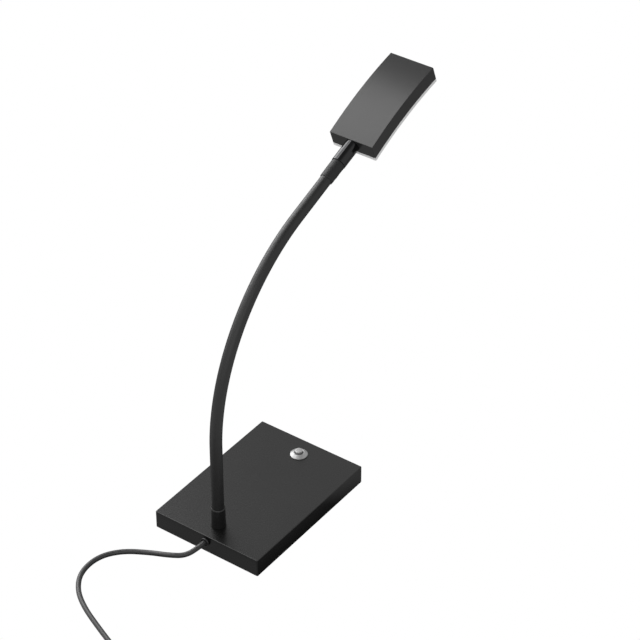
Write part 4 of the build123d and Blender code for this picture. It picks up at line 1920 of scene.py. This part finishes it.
    def make_lead(self, name: str, low: float, high: float, number: int) -> bpy.types.Object:
        """One span of the lead inside the neck.

        Args:
            name: the piece's name.
            low: station where it starts.
            high: station where it ends.
            number: the span's number, which the lead has no use for.

        Returns:
            The span.
        """
        stations = self.stations(low, high, 3 * MM)
        lead = self.tube(name, stations, lambda station: self.lead_radius, 0.0, 20)
        dress(lead, Finish.LEAD)
        stand_for(lead, "lead_insulation", "lamp_lead")
        return lead

    def make_lead_tail(self) -> None:
        """The lead inside the base, from the driver to the neck's foot."""
        route = [(-28, 24, 9.5), (-37, 24, 9.5), (-48, 16, 6.4), (-59, 6.5, 5.2)]
        points = [Vector(point) * MM for point in route]
        points += [Vector((self.foot_x, 0, 5.4 * MM)), Vector((self.foot_x, 0, 15 * MM))]
        points.append(self.point(self.lead_start))
        shape = laid_curve("lead_shape", points, self.lead_radius, 4)
        bpy.context.view_layer.update()
        mesh = bpy.data.meshes.new_from_object(shape.evaluated_get(bpy.context.evaluated_depsgraph_get()))
        bpy.data.objects.remove(shape)
        tail = bpy.data.objects.new("lead_tail", mesh)
        bpy.context.scene.collection.objects.link(tail)
        smooth(tail)
        fit(tail, Finish.LEAD, Body.BASE.value, "lead_insulation")

    def make_collar(self) -> None:
        """Turned collar at the foot, bevelled at its rim."""
        top = self.table + self.collar_height
        outer, bore, bevel = self.collar_radius, self.sleeve_low + 0.12 * MM, self.collar_bevel
        outline = [
            (bore, self.table + 0.02 * MM),
            (outer + self.collar_flare, self.table + 0.02 * MM),
            (outer + self.collar_flare, self.table + 1.5 * MM),
            (outer, self.table + 7.0 * MM),
            (outer - 0.15 * MM, top - bevel),
            (outer - 0.6 * bevel, top - 0.2 * bevel),
            (bore + 0.15 * MM, top),
            (bore, top - 0.15 * MM),
        ]
        facets = Facets()
        lathe(facets, soften(outline, 0.22 * MM, 3), Matrix.Translation(Vector((self.foot_x, 0, 0))), 72)
        collar = facets.piece("foot_collar", 50)
        weigh_normals(collar)
        fit(collar, Finish.COLLAR_COAT, Body.BASE.value, "black_powder_coat", "neck_collar")

    def make_boot(self) -> None:
        """Shrunk-on boot with slightly uneven ends and a soft swell over the stem's cup."""
        start, end = self.boot_start, self.boot_end
        bore = self.sleeve_high + 0.07 * MM
        count = 72
        wall = self.boot_radius - bore

        def ragged(turn: float, phase: float) -> float:
            """How far the cut end strays."""
            return 0.22 * MM * math.sin(turn + phase) + 0.12 * MM * math.sin(3 * turn + 2.1 * phase)

        def swell(share: float, turn: float) -> float:
            """Radius along and round the boot, over the cup that it grips."""
            dent = 0.05 * MM * math.sin(2 * turn + 9 * share) + 0.04 * MM * math.sin(5 * turn - 14 * share)
            return self.boot_radius - 0.28 * MM * (1 - share) ** 2 + dent * math.sin(math.pi * share)

        shares = [0.03] + [0.06 + 0.88 * i / 26 for i in range(27)] + [0.97]
        rings: list[Ring] = []

        def add(share: float, radius: float | None) -> None:
            """Add a ring at a share of the length.

            Args:
                share: 0 at the neck's end and 1 at the head's.
                radius: its radius, or none for the swell's.
            """
            place = self.place(start)
            points = []
            for i in range(count):
                turn = 2 * math.pi * i / count
                stray = ragged(turn, 0.4) * (1 - share) + ragged(turn, 2.3) * share
                along = share * (end - start) + stray * abs(2 * share - 1) ** 3
                size = swell(share, turn) if radius is None else radius
                points.append(place @ Vector((size * math.cos(turn), size * math.sin(turn), along)))
            rings.append(points)

        for share, rise in ((0.0, 0.0), (0.0, 0.12), (0.012, 0.5)):
            add(share, bore + rise * wall)
        for share in shares:
            add(share, None)
        for share, rise in ((0.99, 0.8), (1.0, 0.6), (1.0, 0.0)):
            add(share, bore + rise * wall)
        facets = Facets()
        facets.loft(rings, closed=True)
        boot = facets.piece("shrunk_boot", 60)
        fit(boot, Finish.BOOT, Body.HEAD.value, "neck_rubber", "sleeve_boot")

    def make_stem(self) -> None:
        """Polished stem between the boot and the head."""
        shank = self.length - self.boot_end
        grip, core = self.sleeve_end - self.boot_end, self.core_end - self.boot_end
        cup, thread, bore = 4.85 * MM, 3.0 * MM, 2.0 * MM
        outline = [
            (cup, grip),
            (self.sleeve_high - 0.05 * MM, grip),
            (self.sleeve_high - 0.05 * MM, 0.0),
            (self.stem_radius, 0.0),
            (self.stem_radius, shank - 0.02 * MM),
            (thread, shank - 0.02 * MM),
            (thread, shank + 6.4 * MM),
            (bore, shank + 6.4 * MM),
            (bore, core),
            (cup, core),
        ]
        facets = Facets()
        lathe(facets, soften(outline, 0.3 * MM, 3), self.place(self.boot_end), 96)
        stem = facets.piece("head_ferrule", 50)
        weigh_normals(stem)
        fit(stem, Finish.STEM_METAL, Body.HEAD.value, "black_nickel", "head_stem")


# ---------------------------------------------------------------- lamp head


@dataclass
class LampHead:
    """Arched head: lacquered housing, frosted plate and the board with its lights."""

    neck: Neck
    length: float = 113.2 * MM
    width: float = 51.5 * MM
    rise: float = 3.8 * MM
    top: float = 8.18 * MM
    bottom: float = -8.0 * MM
    wall: float = 1.8 * MM
    skin: float = 2.0 * MM
    plate: float = 4.0 * MM
    lip: float = 1.4 * MM
    edge: float = 0.5 * MM
    corner: float = 0.7 * MM
    seam: float = 0.22 * MM
    board_under: float = -1.7 * MM
    boss: float = 3.0 * MM
    bore_top: float = 4.5 * MM
    stem_hole: float = 3.05 * MM
    screw_along: tuple[float, float] = (21.4 * MM, 96.6 * MM)
    screw_across: float = 17.2 * MM
    stations: int = 36

    def place(self) -> Matrix:
        """The head's frame: u along it, w across it and height up from the neck's axis."""
        turn = Matrix.Rotation(-self.neck.tilt, 4, "Y")
        return Matrix.Translation(self.neck.point(self.neck.length)) @ turn

    def arch(self, u: float) -> float:
        """Rise of the arch at a distance along the head."""
        return self.rise * (1 - (2 * u / self.length - 1) ** 2)

    def bent(self, u: float, w: float, height: float) -> Vector:
        """Point of the arched head in the frame."""
        return self.place() @ Vector((u, w, height + self.arch(u)))

    def build(self) -> None:
        """Make the housing and the plate, and dress the nodes inside."""
        self.make_housing()
        self.make_plate()
        dress_nodes(
            {
                "led_board": Finish.WHITE_MASK,
                "led_chips": Finish.PHOSPHOR,
                "reflector_sheet": Finish.REFLECTOR,
                "board_screws": Finish.ZINC,
            }
        )

    def make_housing(self) -> None:
        """Arched shell, open below, with its bosses and the stem's hole."""
        slab = Slab(self.length, self.width, self.corner, self.stations)
        roof = self.top - self.skin
        levels = [(self.wall + 0.6 * MM, roof), (self.wall, roof - 0.6 * MM), (self.wall, self.bottom)]
        levels += rounded_step((self.seam, self.bottom + self.seam), (270, 180), self.seam, 2)
        levels += rounded_step((self.edge, self.top - self.edge), (180, 90), self.edge)
        facets = Facets()
        slab.loft(facets, levels, self.bent)
        housing = facets.piece("head_shell")
        bored = Facets()
        reach = 5 * self.wall
        rod = [(0, -reach), (self.stem_hole, -reach), (self.stem_hole, reach), (0, reach)]
        lathe(bored, rod, self.neck.place(self.neck.length), 40)
        drill(housing, [bored.piece("rod")])
        self.add_bosses(housing)
        smooth(housing)
        weigh_normals(housing)
        fit(housing, Finish.HEAD_COAT, Body.HEAD.value, "head_lacquer", "head_housing")

    def add_bosses(self, housing: bpy.types.Object) -> None:
        """Join the board's bosses to the housing.

        Args:
            housing: the shell.
        """
        facets = Facets()
        bore = 1.15 * MM
        for u in self.screw_along:
            for w in (-self.screw_across, self.screw_across):
                rise = self.arch(u)
                top = self.top - self.skin + rise + 0.3 * MM
                outline = [
                    (0.0, self.bore_top),
                    (bore, self.bore_top),
                    (bore, self.board_under),
                    (self.boss, self.board_under),
                    (self.boss, top),
                    (0.0, top),
                ]
                lathe(facets, outline, self.place() @ Matrix.Translation(Vector((u, w, 0))), 32)
        bosses = facets.piece("bosses")
        with bpy.context.temp_override(
            active_object=housing, selected_editable_objects=[housing, bosses], object=housing
        ):
            bpy.ops.object.join()

    def make_plate(self) -> None:
        """Frosted plate that closes the head, with a lip inside the shell's walls."""
        slab = Slab(self.length, self.width, self.corner, self.stations)
        low = self.bottom - self.plate
        inset = self.wall + 0.7 * MM
        soft = 0.5 * MM
        levels = rounded_step((soft, low + soft), (270, 180), soft, 4)
        levels += rounded_step((self.seam, self.bottom - self.seam), (180, 90), self.seam, 3)
        levels += [
            (inset, self.bottom),
            (inset, self.bottom + self.lip),
            (inset + 1.2 * MM, self.bottom + self.lip),
            (inset + 1.2 * MM, self.bottom),
        ]
        facets = Facets()
        slab.loft(facets, levels, self.bent)
        plate = facets.piece("frosted_plate")
        weigh_normals(plate)
        fit(plate, Finish.FROSTED, Body.HEAD.value, "frosted_acrylic", "diffuser_plate")


# ---------------------------------------------------------------- the whole lamp


def write_sizes() -> None:
    """Gather the construction's box and the finished model's box."""
    boxes = {"cad": CAD_BOX, "visual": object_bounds()}
    plain = {name: [list(corner) for corner in box] for name, box in boxes.items()}


def main() -> None:
    """Build the studio and then every part of the lamp."""
    logging.basicConfig(level=logging.INFO, format="%(name)s: %(message)s")
    Studio().build()
    MainsCord().build()
    Base().build()
    PushSwitch().build()
    neck = Neck()
    neck.build()
    LampHead(neck).build()
    write_sizes()


if __name__ == "__main__":
    main()
